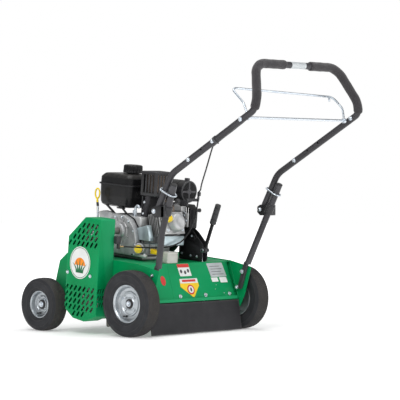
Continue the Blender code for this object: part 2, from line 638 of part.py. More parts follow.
def make_lever(chassis):
    outline = [(0.0300, DECK_TOP_Z + GAP), (0.1620, DECK_TOP_Z + GAP), (0.1640, 0.3660), (0.1200, 0.4120),
               (0.0830, 0.3900), (0.0300, 0.3440)]
    left = prism(outline, 0.1015, 0.1040)
    right = prism(outline, 0.1290, 0.1315)
    base = box((0.1020, 0.0860, DECK_TOP_Z + GAP), (0.1310, 0.1610, 0.2800))
    front = box((0.1020, 0.1580, DECK_TOP_Z + GAP), (0.1310, 0.1610, 0.3300))
    bore = bar((0.09, *LEVER_PIVOT_YZ), (0.14, *LEVER_PIVOT_YZ), 0.0055, sides=16)
    combine("lever_bracket", "black_paint", chassis, left, joined=[base, front, right], cut=[bore])
    pin_yz = polar(LEVER_PIVOT_YZ, LEVER_CRANK, LEVER_CRANK_ANGLE)
    boss = bar((LEVER_X - 0.0060, *LEVER_PIVOT_YZ), (LEVER_X + 0.0034, *LEVER_PIVOT_YZ), 0.011)
    tip = Vector(LEVER_TIP_YZ) - Vector(LEVER_PIVOT_YZ)
    lean = atan2(tip.y, tip.x)
    stem_end = polar(LEVER_PIVOT_YZ, tip.length - 0.020, lean)
    stem = prism(link_outline(LEVER_PIVOT_YZ, stem_end, 0.0075, lean, 3), LEVER_X - 0.0030, LEVER_X + 0.0030)
    crank = prism(link_outline(LEVER_PIVOT_YZ, pin_yz, 0.0085, LEVER_CRANK_ANGLE), LEVER_X - 0.0026,
                  LEVER_X + 0.0026)
    bolt = bar((0.0975, *LEVER_PIVOT_YZ), (0.1355, *LEVER_PIVOT_YZ), 0.0050, sides=16)
    heads = [bar((x, *LEVER_PIVOT_YZ), (x + 0.0035, *LEVER_PIVOT_YZ), 0.0085, sides=6)
             for x in (0.0975, 0.1320)]
    pin = bar((LEVER_X, *pin_yz), (0.1260, *pin_yz), 0.0040, sides=12)
    grip_start = polar(LEVER_PIVOT_YZ, tip.length - 0.085, lean)
    sleeve = bar((LEVER_X, *grip_start), (LEVER_X, *LEVER_TIP_YZ), 0.0130, 0.0120, sides=20)
    combine("depth_lever", "black_paint", chassis, boss, joined=[stem, crank, bolt, pin, sleeve] + heads)
    low_pin = polar(LIFT_PIVOT_YZ, LIFT_CRANK, LIFT_CRANK_ANGLE)
    span = Vector(pin_yz) - Vector(low_pin)
    tilt = atan2(span.y, span.x)
    rod = prism(link_outline(low_pin, pin_yz, 0.0090, tilt), 0.1190, 0.1225)
    eye = bar((0.1190, *low_pin), (0.1225, *low_pin), 0.0150, sides=24)
    holes = [bar((0.11, *low_pin), (0.13, *low_pin), 0.0095),
             bar((0.11, *pin_yz), (0.13, *pin_yz), 0.0045, sides=16)]
    combine("lift_link", "zinc", chassis, rod, joined=[eye], cut=holes)


# ---- handle ----

def lower_corners(side):
    """The corners of a lower tube's centre line, up from its squashed end."""
    return [Vector((side * 0.2557, -0.0722, 0.2700)), Vector((side * 0.2860, -0.1205, 0.4100)),
            Vector((side * 0.3030, -0.2005, 0.5880))]


def lower_route(side):
    return rounded_route(lower_corners(side), 0.12)


def make_lower_tube(side, name):
    """The fixed lower tube: squashed end bolted inside the deck side, clevis for the fold bolt at the top."""
    near, far = side * 0.2500, side * 0.2615
    low_bolt, high_bolt, high_end = (-0.0315, 0.1760), (-0.0560, 0.2430), (-0.0640, 0.2700)
    angle = atan2(high_end[1] - low_bolt[1], high_end[0] - low_bolt[0])
    tongue = prism(link_outline(low_bolt, high_end, 0.0098, angle), min(near, far), max(near, far))
    heads = [bar((side * 0.2455, *yz), (side * 0.2520, *yz), 0.0085, sides=6) for yz in (low_bolt, high_bolt)]
    centre = Vector((side * 0.2937, -0.1569, 0.4910))
    _, bend, end = lower_corners(side)
    axis = (end - bend).normalized()
    sleeve = bar(centre - axis * 0.018, centre + axis * 0.018, 0.0180, sides=18)
    low_z, high_z, front_y = 0.4650, 0.5090, -0.0965
    clevis = [box((min(side * a, side * b), y, low_z), (max(side * a, side * b), front, high_z))
              for a, b, y, front in ((0.2845, 0.2885, -0.1600, front_y), (0.3175, 0.3215, -0.1640, front_y),
                                     (0.3000, 0.3215, -0.1640, -0.1480))]
    hole = bar((side * 0.26, *FOLD_YZ), (side * 0.35, *FOLD_YZ), 0.0060, sides=16)
    combine(f"lower_tube_{name}", "charcoal", None, tube(lower_route(side), TUBE_R, 2),
            joined=[tongue, sleeve] + heads + clevis, cut=[hole])


def upper_corners(side):
    """The corners of the upper handle's centre line on one side, up from the fold bolt."""
    return [(side * 0.3030, -0.1135, 0.4925), (side * 0.3040, -0.1895, 0.6310),
            (side * 0.3015, -0.6090, 0.8640), (side * 0.2900, -0.6113, 0.9100),
            (side * 0.2430, -0.5640, 1.0180), (side * 0.2050, -0.5545, 1.0405)]


def upper_route():
    right = [(-x, y, z) for x, y, z in upper_corners(-1)[::-1]]
    return rounded_route(upper_corners(-1) + right, 0.09, 4)


def make_upper_handle():
    joined = []
    for side in (-1, 1):
        joined += [bar((side * 0.2900, *FOLD_YZ), (side * 0.3160, *FOLD_YZ), 0.0135),
                   bar((side * 0.2800, *FOLD_YZ), (side * 0.3260, *FOLD_YZ), 0.0055, sides=12),
                   bar((side * 0.2790, *FOLD_YZ), (side * 0.2840, *FOLD_YZ), 0.0100, sides=6),
                   bar((side * 0.3220, *FOLD_YZ), (side * 0.3270, *FOLD_YZ), 0.0100, sides=6)]
    joined.append(bar((-0.2950, *BAIL_YZ), (0.2950, *BAIL_YZ), 0.0050, sides=12))
    joined.append(box((-0.2960, -0.4190, 0.7420), (-0.2860, -0.4010, 0.7600)))
    combine("upper_handle", "charcoal", None, tube(upper_route(), TUBE_R, 2), joined=joined)


def make_foam_grip(side, name):
    """Foam sleeve from the tube's rise, round the bends and along the top bar."""
    half = [point for point in upper_route() if point.z > 0.868 and side * point.x > 0.05]
    half = half if side < 0 else half[::-1]
    route = half + [Vector((side * 0.0720, -0.5545, 1.0405))]
    core = [route[0] + (route[0] - route[1])] + route + [route[-1] - Vector((side * 0.02, 0, 0))]
    combine(f"foam_grip_{name}", "foam", None, tube(route, GRIP_R, 2), cut=[tube(core, GRIP_BORE_R, 2)])


def on_plane(start, end, centre, normal):
    """Where the line through two points meets a plane."""
    along = end - start
    return start + along * ((centre - start).dot(normal) / along.dot(normal))


def make_lock_ring(side, name):
    """The zinc loop that holds the upper tube against the top of the lower one."""
    low = lower_corners(side)[1:]
    high = [Vector(point) for point in upper_corners(side)[:2]]
    normal = ((low[1] - low[0]).normalized() + (high[1] - high[0]).normalized()).normalized()
    centre = Vector((side * 0.3020, -0.1665, 0.5620))
    ends = [on_plane(*high, centre, normal), on_plane(*low, centre, normal)]
    forward = (ends[0] - ends[1]).normalized()
    across = normal.cross(forward)
    route = []
    for middle, sign in ((ends[0], 1), (ends[1], -1)):
        for k in range(9):
            angle = -pi / 2 + pi * k / 8
            route.append(middle + (forward * cos(angle) + across * sin(angle)) * sign * RING_BEND_R)
    add(f"lock_ring_{name}", tube_loop(route, RING_ROD_R), "zinc", None)


def tube_loop(route, radius, sides=8):
    """A closed loop of round rod through the given points."""
    middle = sum(route, Vector()) / len(route)
    count = len(route)
    bm = bmesh.new()
    rings = []
    for i, point in enumerate(route):
        along = (route[(i + 1) % count] - route[i - 1]).normalized()
        out = (point - middle)
        out = (out - along * out.dot(along)).normalized()
        up = along.cross(out)
        ring = []
        for k in range(sides):
            angle = 2 * pi * k / sides
            ring.append(bm.verts.new(point + (out * cos(angle) + up * sin(angle)) * radius))
        rings.append(ring)
    for i in range(count):
        first, second = rings[i], rings[(i + 1) % count]
        for k in range(sides):
            bm.faces.new((first[k], first[(k + 1) % sides], second[(k + 1) % sides], second[k]))
    return finish(bm, "loop")


def make_bail():
    """The operator-presence bail, leaning forward as when it is let go."""
    left = [(-0.2780, BAIL_YZ[0], BAIL_YZ[1] + 0.008), (-0.2780, -0.5350, 0.8920), (-0.2700, -0.4630, 0.9510)]
    right = [(0.2620, -0.5120, 0.9300), (0.2780, -0.5480, 0.8850), (0.2780, BAIL_YZ[0], BAIL_YZ[1] + 0.008)]
    route = rounded_route(left + right, 0.035, 4)
    joined = [bar((side * 0.2735, *BAIL_YZ), (side * 0.2825, *BAIL_YZ), 0.0100) for side in (-1, 1)]
    bores = [bar((side * 0.26, *BAIL_YZ), (side * 0.30, *BAIL_YZ), 0.0056, sides=12) for side in (-1, 1)]
    combine("bail", "zinc", None, tube(route, 0.0042, 2), joined=joined, cut=bores)


# ---- control cable: from the bail down to the belt guard ----

def make_cables(chassis):
    lower = smooth_route([(-0.2292, 0.1500, 0.3330), (-0.2200, 0.1490, 0.3330), (-0.2000, 0.1200, 0.3340),
                          (-0.1600, 0.0920, 0.3340), (-0.1100, 0.0620, 0.3360), (-0.0600, 0.0480, 0.3430),
                          (-0.0150, 0.0440, 0.3580), (0.0150, 0.0460, 0.3780), (0.0400, 0.0480, 0.4050),
                          (0.0620, 0.0500, 0.4450), (0.0780, 0.0530, 0.5000), (0.0860, 0.0580, 0.5350),
                          (0.0880, 0.0600, 0.5450)], 0.018)
    add("cable_lower", tube(lower, CABLE_R, 2), "plastic", chassis)
    tip = chassis_matrix() @ Vector((0.0880, 0.0600, 0.5450))
    rise = (tip - chassis_matrix() @ Vector((0.0860, 0.0580, 0.5350))).normalized()
    span = smooth_route([tip + rise * 0.0016, tip + rise * 0.0100, (0.0550, 0.0000, 0.5690),
                         (-0.0050, -0.0640, 0.5940), (-0.1200, -0.1960, 0.6500), (-0.2300, -0.3225, 0.7070),
                         (-0.2700, -0.3690, 0.7280), (-0.2800, -0.3800, 0.7330)], 0.022)
    add("cable_span", tube(span, CABLE_R, 2), "plastic")
    upper = smooth_route([(-0.2808, -0.3816, 0.7338), (-0.2820, -0.4300, 0.7620), (-0.2800, -0.5000, 0.8020),
                          (-0.2640, -0.5350, 0.8350), (-0.2600, -0.5280, 0.8700)], 0.012)
    add("cable_upper", tube(upper, CABLE_R, 2), "plastic")


def chassis_matrix():
    shift = Matrix.Translation((0, REAR_AXLE_Y, PIVOT_Z))
    return shift @ Matrix.Rotation(PITCH, 4, "X") @ Matrix.Translation((0, 0, -PIVOT_Z))


def main():
    clear_scene()
    chassis = bpy.data.objects.new("chassis", None)
    machine.objects.link(chassis)
    chassis.matrix_world = chassis_matrix()
    bpy.context.view_layer.update()
    for build in (make_deck, make_flap, make_belt_guard, make_rear_axle, make_front_axle, make_rotor,
                  make_belt_drive, make_crankcase, make_cylinder, make_starter, make_fuel_tank, make_exhaust,
                  make_intake, make_small_engine_parts, make_lever):
        build(chassis)
    for index, angle in enumerate(rod_angles()):
        make_flail_row(chassis, index, angle)
    make_wheels()
    make_upper_handle()
    for side, name in ((-1, "left"), (1, "right")):
        make_lower_tube(side, name)
        make_foam_grip(side, name)
        make_lock_ring(side, name)
    make_bail()
    make_cables(chassis)


main()
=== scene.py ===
"""Looks of the walk-behind lawn dethatcher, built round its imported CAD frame.

Metres, in the CAD frame: +Z up, +Y the way the machine is pushed, +X its right-hand side. Most pieces are
made in the chassis's own level frame (x, y ahead of the rear axle, z) and turned with its nose-up pitch.
"""
from math import atan2, cos, pi, radians, sin

import bmesh
import bpy
from mathutils import Matrix, Vector


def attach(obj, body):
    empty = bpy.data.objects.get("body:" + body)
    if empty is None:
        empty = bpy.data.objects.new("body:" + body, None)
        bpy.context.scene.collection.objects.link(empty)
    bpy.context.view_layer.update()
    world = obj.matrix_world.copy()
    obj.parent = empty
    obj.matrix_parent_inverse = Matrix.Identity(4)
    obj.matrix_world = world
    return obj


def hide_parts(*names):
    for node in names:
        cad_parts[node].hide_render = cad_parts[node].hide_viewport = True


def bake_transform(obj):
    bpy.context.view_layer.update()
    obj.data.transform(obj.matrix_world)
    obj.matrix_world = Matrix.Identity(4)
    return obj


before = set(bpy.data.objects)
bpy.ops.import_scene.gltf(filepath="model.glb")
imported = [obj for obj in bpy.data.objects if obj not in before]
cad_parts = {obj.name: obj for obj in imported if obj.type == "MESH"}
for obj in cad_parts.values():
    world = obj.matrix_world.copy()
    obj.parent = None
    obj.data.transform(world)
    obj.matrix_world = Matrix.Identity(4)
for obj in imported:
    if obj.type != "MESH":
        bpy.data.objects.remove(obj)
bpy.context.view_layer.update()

# Driving dimensions, the same as the CAD's
PITCH = radians(5)
REAR_AXLE_Y = 0.0195
PIVOT_Z = 0.127
REAR_WHEEL_R = 0.13
FRONT_WHEEL_R = 0.107
WHEELBASE = 0.502
TRACK_HALF = 0.314
DECK_HALF = 0.262
DECK_TOP_Z = 0.276
ROTOR_YZ = (0.234, 0.1095)
CRANK_YZ = (0.245, 0.385)
PULLEY_X = -0.306
LIFT_PIVOT_YZ = (0.083, 0.109)
LEVER_PIVOT_YZ = (0.032, 0.323)
LEVER_TIP_YZ = (-0.028, 0.514)
LEVER_X = 0.115
CYLINDER_TILT = radians(15)
TUBE_R = 0.0127
GRIP_R = 0.0175
FOLD_YZ = (-0.111, 0.489)
BAIL_YZ = (-0.5545, 0.838)
CABLE_R = 0.003
RING_R = 0.0185
BAIL_X = 0.278
FLAIL_PITCH = 0.062
FLAILS_PER_ROD = 7
ROD_CIRCLE_R = 0.06
CASE_X = (-0.13, 0.05)
COVER_X = -0.16
CRANK_BORE_R = 0.0137
FILTER_START = (0.075, 0.1, 0.553)

SHIFT = Matrix.Translation((0, REAR_AXLE_Y, PIVOT_Z))
CHASSIS = SHIFT @ Matrix.Rotation(PITCH, 4, "X") @ Matrix.Translation((0, 0, -PIVOT_Z))
LEVEL = Matrix.Identity(4)


# ---- materials ----

def ramp(tree, source, low, high, dark, light):
    """Maps a texture value between two positions onto two greys or colours."""
    node = tree.nodes.new("ShaderNodeValToRGB")
    node.color_ramp.elements[0].position = low
    node.color_ramp.elements[0].color = dark
    node.color_ramp.elements[1].position = high
    node.color_ramp.elements[1].color = light
    tree.links.new(source, node.inputs[0])
    return node.outputs[0]


def grey(value):
    """An opaque grey."""
    return (value, value, value, 1)


def texture(tree, kind, scale, detail):
    """A procedural texture in the piece's own coordinates; scale is repeats per metre."""
    place = tree.nodes.new("ShaderNodeTexCoord")
    node = tree.nodes.new(kind)
    node.inputs["Scale"].default_value = scale
    if "Detail" in node.inputs:
        node.inputs["Detail"].default_value = detail
    tree.links.new(place.outputs["Object"], node.inputs["Vector"])
    return node


def mixed(tree, factor, first, second):
    """A colour between two others, each a colour or a socket."""
    node = tree.nodes.new("ShaderNodeMix")
    node.data_type = "RGBA"
    tree.links.new(factor, node.inputs["Factor"])
    for socket, value in ((node.inputs[6], first), (node.inputs[7], second)):
        if isinstance(value, tuple):
            socket.default_value = value
        else:
            tree.links.new(value, socket)
    return node.outputs[2]


def bumped(tree, shader, source, strength, distance):
    """Surface relief from a texture."""
    node = tree.nodes.new("ShaderNodeBump")
    node.inputs["Strength"].default_value = strength
    node.inputs["Distance"].default_value = distance
    tree.links.new(source, node.inputs["Height"])
    tree.links.new(node.outputs["Normal"], shader.inputs["Normal"])


def finish_of(name, colour, shade, rough, metallic=0.0, coat=0.0, patch=9.0, grain=700.0, bump=0.25,
              depth=0.0004, wear=None, dust=None, kind="ShaderNodeTexNoise", sheen=0.0, spread=0.12,
              specular=0.35, corner_shade=0.0):
    """One finish: patchy colour, uneven gloss, fine grain, worn edges, settled dust and painted shade in its
    corners.
    """
    made = bpy.data.materials.new(name)
    made.use_nodes = True
    tree = made.node_tree
    shader = tree.nodes["Principled BSDF"]
    shader.inputs["Metallic"].default_value = metallic
    shader.inputs["Specular IOR Level"].default_value = specular
    shader.inputs["Coat Weight"].default_value = coat
    shader.inputs["Coat Roughness"].default_value = 0.12
    shader.inputs["Sheen Weight"].default_value = sheen
    patches = texture(tree, kind, patch, 4.0)
    value = patches.outputs[0] if kind == "ShaderNodeTexNoise" else patches.outputs["Color"]
    tint = mixed(tree, ramp(tree, value, 0.35, 0.68, grey(0), grey(1)), (*shade, 1), (*colour, 1))
    if dust:
        facing = tree.nodes.new("ShaderNodeNewGeometry")
        split = tree.nodes.new("ShaderNodeSeparateXYZ")
        tree.links.new(facing.outputs["Normal"], split.inputs[0])
        settled = tree.nodes.new("ShaderNodeMath")
        settled.operation = "MULTIPLY"
        tree.links.new(ramp(tree, split.outputs["Z"], 0.2, 1.0, grey(0), grey(dust[1])), settled.inputs[0])
        specks = texture(tree, "ShaderNodeTexNoise", 60.0, 6.0)
        tree.links.new(ramp(tree, specks.outputs[0], 0.4, 0.7, grey(0.2), grey(1)), settled.inputs[1])
        tint = mixed(tree, settled.outputs[0], tint, (*dust[0], 1))
    if wear:
        edges = tree.nodes.new("ShaderNodeNewGeometry")
        tint = mixed(tree, ramp(tree, edges.outputs["Pointiness"], 0.53, 0.6, grey(0), grey(wear[1])), tint,
                     (*wear[0], 1))
    # Painted shade: ambient occlusion darkens the colour towards near-black in corners and crevices, where
    # shade would fall.
    if corner_shade:
        corner = tree.nodes.new("ShaderNodeAmbientOcclusion")
        corner.inputs["Distance"].default_value = 0.03
        tint = mixed(tree, ramp(tree, corner.outputs["AO"], 0.3, 0.92, grey(corner_shade), grey(0)), tint,
                     (0.035, 0.032, 0.03, 1))
    tree.links.new(tint, shader.inputs["Base Color"])
    gloss = texture(tree, "ShaderNodeTexNoise", patch * 2.7, 5.0)
    tree.links.new(ramp(tree, gloss.outputs[0], 0.3, 0.7, grey(max(0.05, rough - spread / 2)),
                        grey(rough + spread / 2)), shader.inputs["Roughness"])
    fine = texture(tree, "ShaderNodeTexNoise", grain, 2.0)
    bumped(tree, shader, fine.outputs[0], bump, depth)
    return made


DUST = ((0.3, 0.27, 0.22), 0.1)
FINISHES = {
    "green": finish_of("green_enamel", (0.0, 0.3, 0.098), (0.0, 0.235, 0.07), 0.4, coat=0.02, specular=0.12,
                       patch=5.0, grain=420, bump=0.1, wear=((0.03, 0.4, 0.18), 0.4)),
    "charcoal": finish_of("charcoal_powder_coat", (0.038, 0.036, 0.041), (0.026, 0.025, 0.029), 0.38,
                          coat=0.08, patch=14, grain=1300, bump=0.22, wear=((0.12, 0.12, 0.13), 0.5)),
    "black": finish_of("black_enamel", (0.011, 0.011, 0.012), (0.007, 0.007, 0.008), 0.42, coat=0.08,
                       patch=12, grain=900, bump=0.2, wear=((0.1, 0.1, 0.11), 0.5)),
    "gloss_black": finish_of("tank_plastic", (0.009, 0.009, 0.01), (0.006, 0.006, 0.007), 0.32, coat=0.06,
                             specular=0.2, patch=8, grain=1100, bump=0.12, wear=((0.05, 0.05, 0.055), 0.5),
                             dust=DUST),
    "plastic": finish_of("moulded_plastic", (0.022, 0.022, 0.024), (0.014, 0.014, 0.016), 0.46, patch=16,
                         grain=1600, bump=0.35, wear=((0.09, 0.09, 0.095), 0.5), dust=DUST),
    "rubber": finish_of("black_rubber", (0.028, 0.027, 0.031), (0.02, 0.02, 0.023), 0.66, patch=10,
                        grain=900, bump=0.3, wear=((0.09, 0.088, 0.088), 0.4)),
    "tyre": finish_of("tyre_rubber", (0.03, 0.031, 0.035), (0.019, 0.02, 0.023), 0.6, patch=22, grain=1200,
                      bump=0.3, wear=((0.13, 0.115, 0.105), 0.5), specular=0.28),
    "foam": finish_of("foam_sleeve", (0.036, 0.033, 0.036), (0.026, 0.024, 0.027), 0.86, patch=18,
                      grain=2100, bump=0.75, depth=0.0005, sheen=0.25),
    "zinc": finish_of("zinc_plate", (0.66, 0.71, 0.76), (0.5, 0.56, 0.63), 0.3, metallic=1.0, patch=40,
                      grain=1500, bump=0.12, wear=((0.86, 0.89, 0.92), 0.5)),
    # Painted shade: the galvanised rims and the cast alloy darken in their corners and hollows through the
    # ambient-occlusion ramp.
    "galvanised": finish_of("galvanised_steel", (0.56, 0.6, 0.63), (0.34, 0.39, 0.45), 0.36, metallic=0.85,
                            patch=48, grain=900, bump=0.25, kind="ShaderNodeTexVoronoi", corner_shade=0.55),
    "alloy": finish_of("cast_alloy", (0.56, 0.57, 0.575), (0.38, 0.39, 0.4), 0.46, metallic=0.55, patch=30,
                       grain=1000, bump=0.55, depth=0.0006, wear=((0.8, 0.8, 0.79), 0.5), corner_shade=0.85),
    "steel": finish_of("worn_steel", (0.26, 0.25, 0.24), (0.13, 0.105, 0.085), 0.45, metallic=0.9, patch=26,
                       grain=700, bump=0.4, wear=((0.55, 0.54, 0.53), 0.6)),
    "exhaust": finish_of("heated_steel", (0.24, 0.19, 0.15), (0.11, 0.085, 0.07), 0.5, metallic=0.8,
                         patch=20, grain=700, bump=0.4),
    "brass": finish_of("brass_fitting", (0.72, 0.5, 0.26), (0.5, 0.34, 0.18), 0.36, metallic=0.8, patch=60,
                       grain=900, bump=0.2),
    "yellow": finish_of("yellow_plastic", (0.9, 0.66, 0.012), (0.78, 0.54, 0.008), 0.38, coat=0.2, patch=25,
                        grain=900, bump=0.15),
    "white": finish_of("off_white_plastic", (0.6, 0.6, 0.555), (0.5, 0.5, 0.46), 0.5, patch=20, grain=900,
                       bump=0.2, dust=DUST),
    "sheet": finish_of("plated_sheet", (0.56, 0.66, 0.69), (0.42, 0.52, 0.56), 0.34, metallic=0.7, patch=18,
                       grain=600, bump=0.2),
    "label_white": finish_of("white_label", (0.8, 0.81, 0.8), (0.74, 0.75, 0.74), 0.42, patch=25,
                             bump=0.05),
    "label_silver": finish_of("silver_label", (0.58, 0.61, 0.62), (0.5, 0.53, 0.55), 0.34, metallic=0.35,
                              patch=25, bump=0.08),
    "label_red": finish_of("red_label", (0.66, 0.045, 0.035), (0.58, 0.035, 0.03), 0.42, patch=25,
                           bump=0.05),
    "label_yellow": finish_of("yellow_label", (0.9, 0.62, 0.02), (0.85, 0.56, 0.015), 0.42, patch=25,
                              bump=0.05),
    "label_green": finish_of("green_label", (0.01, 0.16, 0.055), (0.01, 0.13, 0.045), 0.42, patch=25,
                             bump=0.05),
    "label_orange": finish_of("orange_label", (0.9, 0.27, 0.01), (0.86, 0.24, 0.01), 0.42, patch=25,
                              bump=0.05),
    # Painted shade: a near-black, matt colour for holes, openings and gaps, standing in for the shade inside
    # them.
    "dark": finish_of("painted_recess_shade", (0.005, 0.005, 0.006), (0.003, 0.003, 0.004), 0.8, patch=20, bump=0.2,
                      specular=0.05),
    "soil": finish_of("tread_soil", (0.16, 0.135, 0.105), (0.1, 0.085, 0.068), 0.85, patch=60, bump=0.4,
                      specular=0.1),
}


# ---- shapes: each returns a bmesh in the frame it is used in ----

def box(low, high, radius=0.0, segments=2):
    """A box between two corners, its edges rounded."""
    bm = bmesh.new()
    bmesh.ops.create_cube(bm, size=1.0)
    low, high = Vector(low), Vector(high)
    for vert in bm.verts:
        vert.co = Vector([(low[i] + high[i]) / 2 + vert.co[i] * (high[i] - low[i]) for i in range(3)])
    if radius:
        bmesh.ops.bevel(bm, geom=bm.edges[:], offset=radius, segments=segments, profile=0.5, affect="EDGES")
    return bm


def prism(outline, x_low, x_high, radius=0.0, segments=2):
    """An outline of (y, z) points pushed out along X, its edges rounded."""
    bm = bmesh.new()
    face = bm.faces.new([bm.verts.new((x_low, y, z)) for y, z in outline])
    made = bmesh.ops.extrude_face_region(bm, geom=[face])["geom"]
    verts = [item for item in made if isinstance(item, bmesh.types.BMVert)]
    bmesh.ops.translate(bm, verts=verts, vec=(x_high - x_low, 0, 0))
    bmesh.ops.recalc_face_normals(bm, faces=bm.faces)
    if radius:
        sharp = [edge for edge in bm.edges if len(edge.link_faces) == 2 and edge.calc_face_angle() > 0.5]
        bmesh.ops.bevel(bm, geom=sharp, offset=radius, segments=segments, profile=0.5, affect="EDGES")
    return bm


def frame_along(direction):
    """Two unit vectors square to a direction and to each other."""
    along = Vector(direction).normalized()
    side = along.orthogonal().normalized()
    if abs(along.z) < 0.9:
        side = along.cross(Vector((0, 0, 1))).normalized()
    return along, side, along.cross(side)


def lathe(profile, start, direction, sides=48, closed=False, ribs=0, rib_depth=0.0):
    """(distance, radius) points turned about a line; closed joins the last point to the first."""
    along, side, up = frame_along(direction)
    bm = bmesh.new()
    rings = []
    for distance, radius in profile:
        middle = Vector(start) + along * distance
        if radius < 1e-6:
            rings.append([bm.verts.new(middle)] * sides)
            continue
        ring = []
        for k in range(sides):
            angle = 2 * pi * k / sides
            reach = radius - (rib_depth if ribs and cos(angle * ribs) < 0 else 0.0)
            ring.append(bm.verts.new(middle + (side * cos(angle) + up * sin(angle)) * reach))
        rings.append(ring)
    for first, second in zip(rings, rings[1:] + (rings[:1] if closed else [])):
        for k in range(sides):
            corners = list(dict.fromkeys((first[k], first[(k + 1) % sides], second[(k + 1) % sides],
                                          second[k])))
            if len(corners) > 2:
                bm.faces.new(corners)
    if not closed:
        for ring in (rings[0], rings[-1]):
            if ring[0] is not ring[1]:
                bm.faces.new(ring)
    return bm


def bar(start, end, radius, radius_end=None, sides=32, edge=0.0006):
    """A round bar or cone between two points, its ends chamfered."""
    length = (Vector(end) - Vector(start)).length
    last = radius if radius_end is None else radius_end
    edge = min(edge, length / 4, radius / 3, last / 3)
    profile = [(0, radius - edge), (edge, radius), (length - edge, last), (length, last - edge)]
    return lathe(profile, start, Vector(end) - Vector(start), sides)


def sweep(route, radius, sides=20, closed=False, lobes=0, lobe_depth=0.0, turns=0.0):
    """A rod along a route; lobes and turns twist it. radius may be a list, one for each point."""
    route = [Vector(point) for point in route]
    count = len(route)
    radii = radius if isinstance(radius, list) else [radius] * count
    bm = bmesh.new()
    rings = []
    side = frame_along(route[1] - route[0])[1]
    for i, point in enumerate(route):
        before = route[i - 1] if i or closed else route[0]
        after = route[(i + 1) % count] if i < count - 1 or closed else route[-1]
        along = (after - before).normalized()
        side = (side - along * side.dot(along)).normalized()
        up = along.cross(side)
        ring = []
        for k in range(sides):
            angle = 2 * pi * k / sides
            swell = 1 + lobe_depth * cos(lobes * (angle - 2 * pi * turns * i / count)) if lobes else 1
            ring.append(bm.verts.new(point + (side * cos(angle) + up * sin(angle)) * radii[i] * swell))
        rings.append(ring)
    for first, second in zip(rings, rings[1:]):
        for k in range(sides):
            bm.faces.new((first[k], first[(k + 1) % sides], second[(k + 1) % sides], second[k]))
    if closed:
        shift = min(range(sides), key=lambda s: (rings[-1][0].co - rings[0][s].co).length)
        for k in range(sides):
            bm.faces.new((rings[-1][k], rings[-1][(k + 1) % sides], rings[0][(k + 1 + shift) % sides],
                          rings[0][(k + shift) % sides]))
    else:
        bm.faces.new(rings[0][::-1])
        bm.faces.new(rings[-1])
    return bm


def smooth_route(points, step):
    """Points along a Catmull-Rom curve through the given ones, about a step apart."""
    points = [Vector(point) for point in points]
    ends = [2 * points[0] - points[1]] + points + [2 * points[-1] - points[-2]]
    route = []
    for i in range(1, len(ends) - 2):
        before, start, end, after = ends[i - 1:i + 3]
        count = max(1, round((end - start).length / step))
        for k in range(count):
            t = k / count
            route.append(0.5 * (2 * start + (end - before) * t +
                                (2 * before - 5 * start + 4 * end - after) * t * t +
                                (3 * start - before - 3 * end + after) * t ** 3))
    return route + [points[-1]]


def rounded_route(points, radius, steps=10):
    """A run of straight lines whose corners are bent to a radius."""
    points = [Vector(point) for point in points]
    route = [points[0]]
    for before, corner, after in zip(points, points[1:], points[2:]):
        into, out = (corner - before).normalized(), (after - corner).normalized()
        turn = into.angle(out)
        if turn < 0.01:
            continue
        cut = min(radius * abs(sin(turn / 2) / cos(turn / 2)), 0.45 * (corner - before).length,
                  0.45 * (after - corner).length)
        for k in range(steps + 1):
            t = k / steps
            route.append((1 - t) ** 2 * (corner - into * cut) + 2 * t * (1 - t) * corner
                         + t * t * (corner + out * cut))
    return route + [points[-1]]


def polar(centre, radius, angle):
    """The point at an angle and a radius from a centre."""
    return (centre[0] + radius * cos(angle), centre[1] + radius * sin(angle))


def link_outline(start, end, half_width, steps=10):
    """A flat link with round ends between two (y, z) points."""
    angle = atan2(end[1] - start[1], end[0] - start[0])
    outline = []
    for centre, facing in ((start, angle + pi / 2), (end, angle - pi / 2)):
        outline += [polar(centre, half_width, facing + pi * k / steps) for k in range(steps + 1)]
    return outline


def rounded_outline(corners, radius, steps=5):
    """A closed (y, z) outline whose corners are rounded."""
    count = len(corners)
    outline = []
    for i, corner in enumerate(corners):
        corner = Vector(corner)
        into = (corner - Vector(corners[i - 1]))
        out = (Vector(corners[(i + 1) % count]) - corner)
        turn = into.angle(out)
        cut = min(radius * abs(sin(turn / 2) / max(0.05, cos(turn / 2))), 0.45 * into.length,
                  0.45 * out.length)
        start, end = corner - into.normalized() * cut, corner + out.normalized() * cut
        for k in range(steps + 1):
            t = k / steps
            outline.append(tuple((1 - t) ** 2 * start + 2 * t * (1 - t) * corner + t * t * end))
    return outline


def inset(outline, distance):
    """The outline moved inwards by a distance, corner by corner."""
    area = sum(a[0] * b[1] - b[0] * a[1] for a, b in zip(outline, outline[1:] + outline[:1]))
    side = 1 if area > 0 else -1
    moved_in = []
    for i, corner in enumerate(outline):
        corner = Vector(corner)
        into = (corner - Vector(outline[i - 1])).normalized()
        out = (Vector(outline[(i + 1) % len(outline)]) - corner).normalized()
        normal_in = Vector((-into.y, into.x)) * side
        normal_out = Vector((-out.y, out.x)) * side
        shift = (normal_in + normal_out) / (1 + normal_in.dot(normal_out))
        moved_in.append(tuple(corner + shift * distance))
    return moved_in


def hexagon(start, direction, radius, height, chamfer=0.12):
    """A chamfered hexagon head or nut."""
    return lathe([(0, radius), (height * (1 - chamfer), radius), (height, radius * 0.88)], start, direction,
                 6)


def bolt(seat, direction, radius, thread=0.0):
    """A washer and a hexagon head on a seat, with the thread's end when one stands out."""
    along = Vector(direction).normalized()
    seat = Vector(seat)
    shapes = [lathe([(0, radius * 1.55), (radius * 0.22, radius * 1.55), (radius * 0.26, radius * 1.48)],
                    seat, along, 32), hexagon(seat + along * radius * 0.24, along, radius * 1.12,
                                              radius * 0.85)]
    if thread:
        top = seat + along * radius * 1.05
        shapes.append(bar(top, top + along * thread, radius * 0.55, sides=20))
    return shapes


def bolt_set(name, seats, direction, radius, thread=0.0):
    """Zinc bolts of one size that point one way, as a piece of the chassis."""
    piece(name, "zinc", [shape for seat in seats for shape in bolt(seat, direction, radius, thread)])


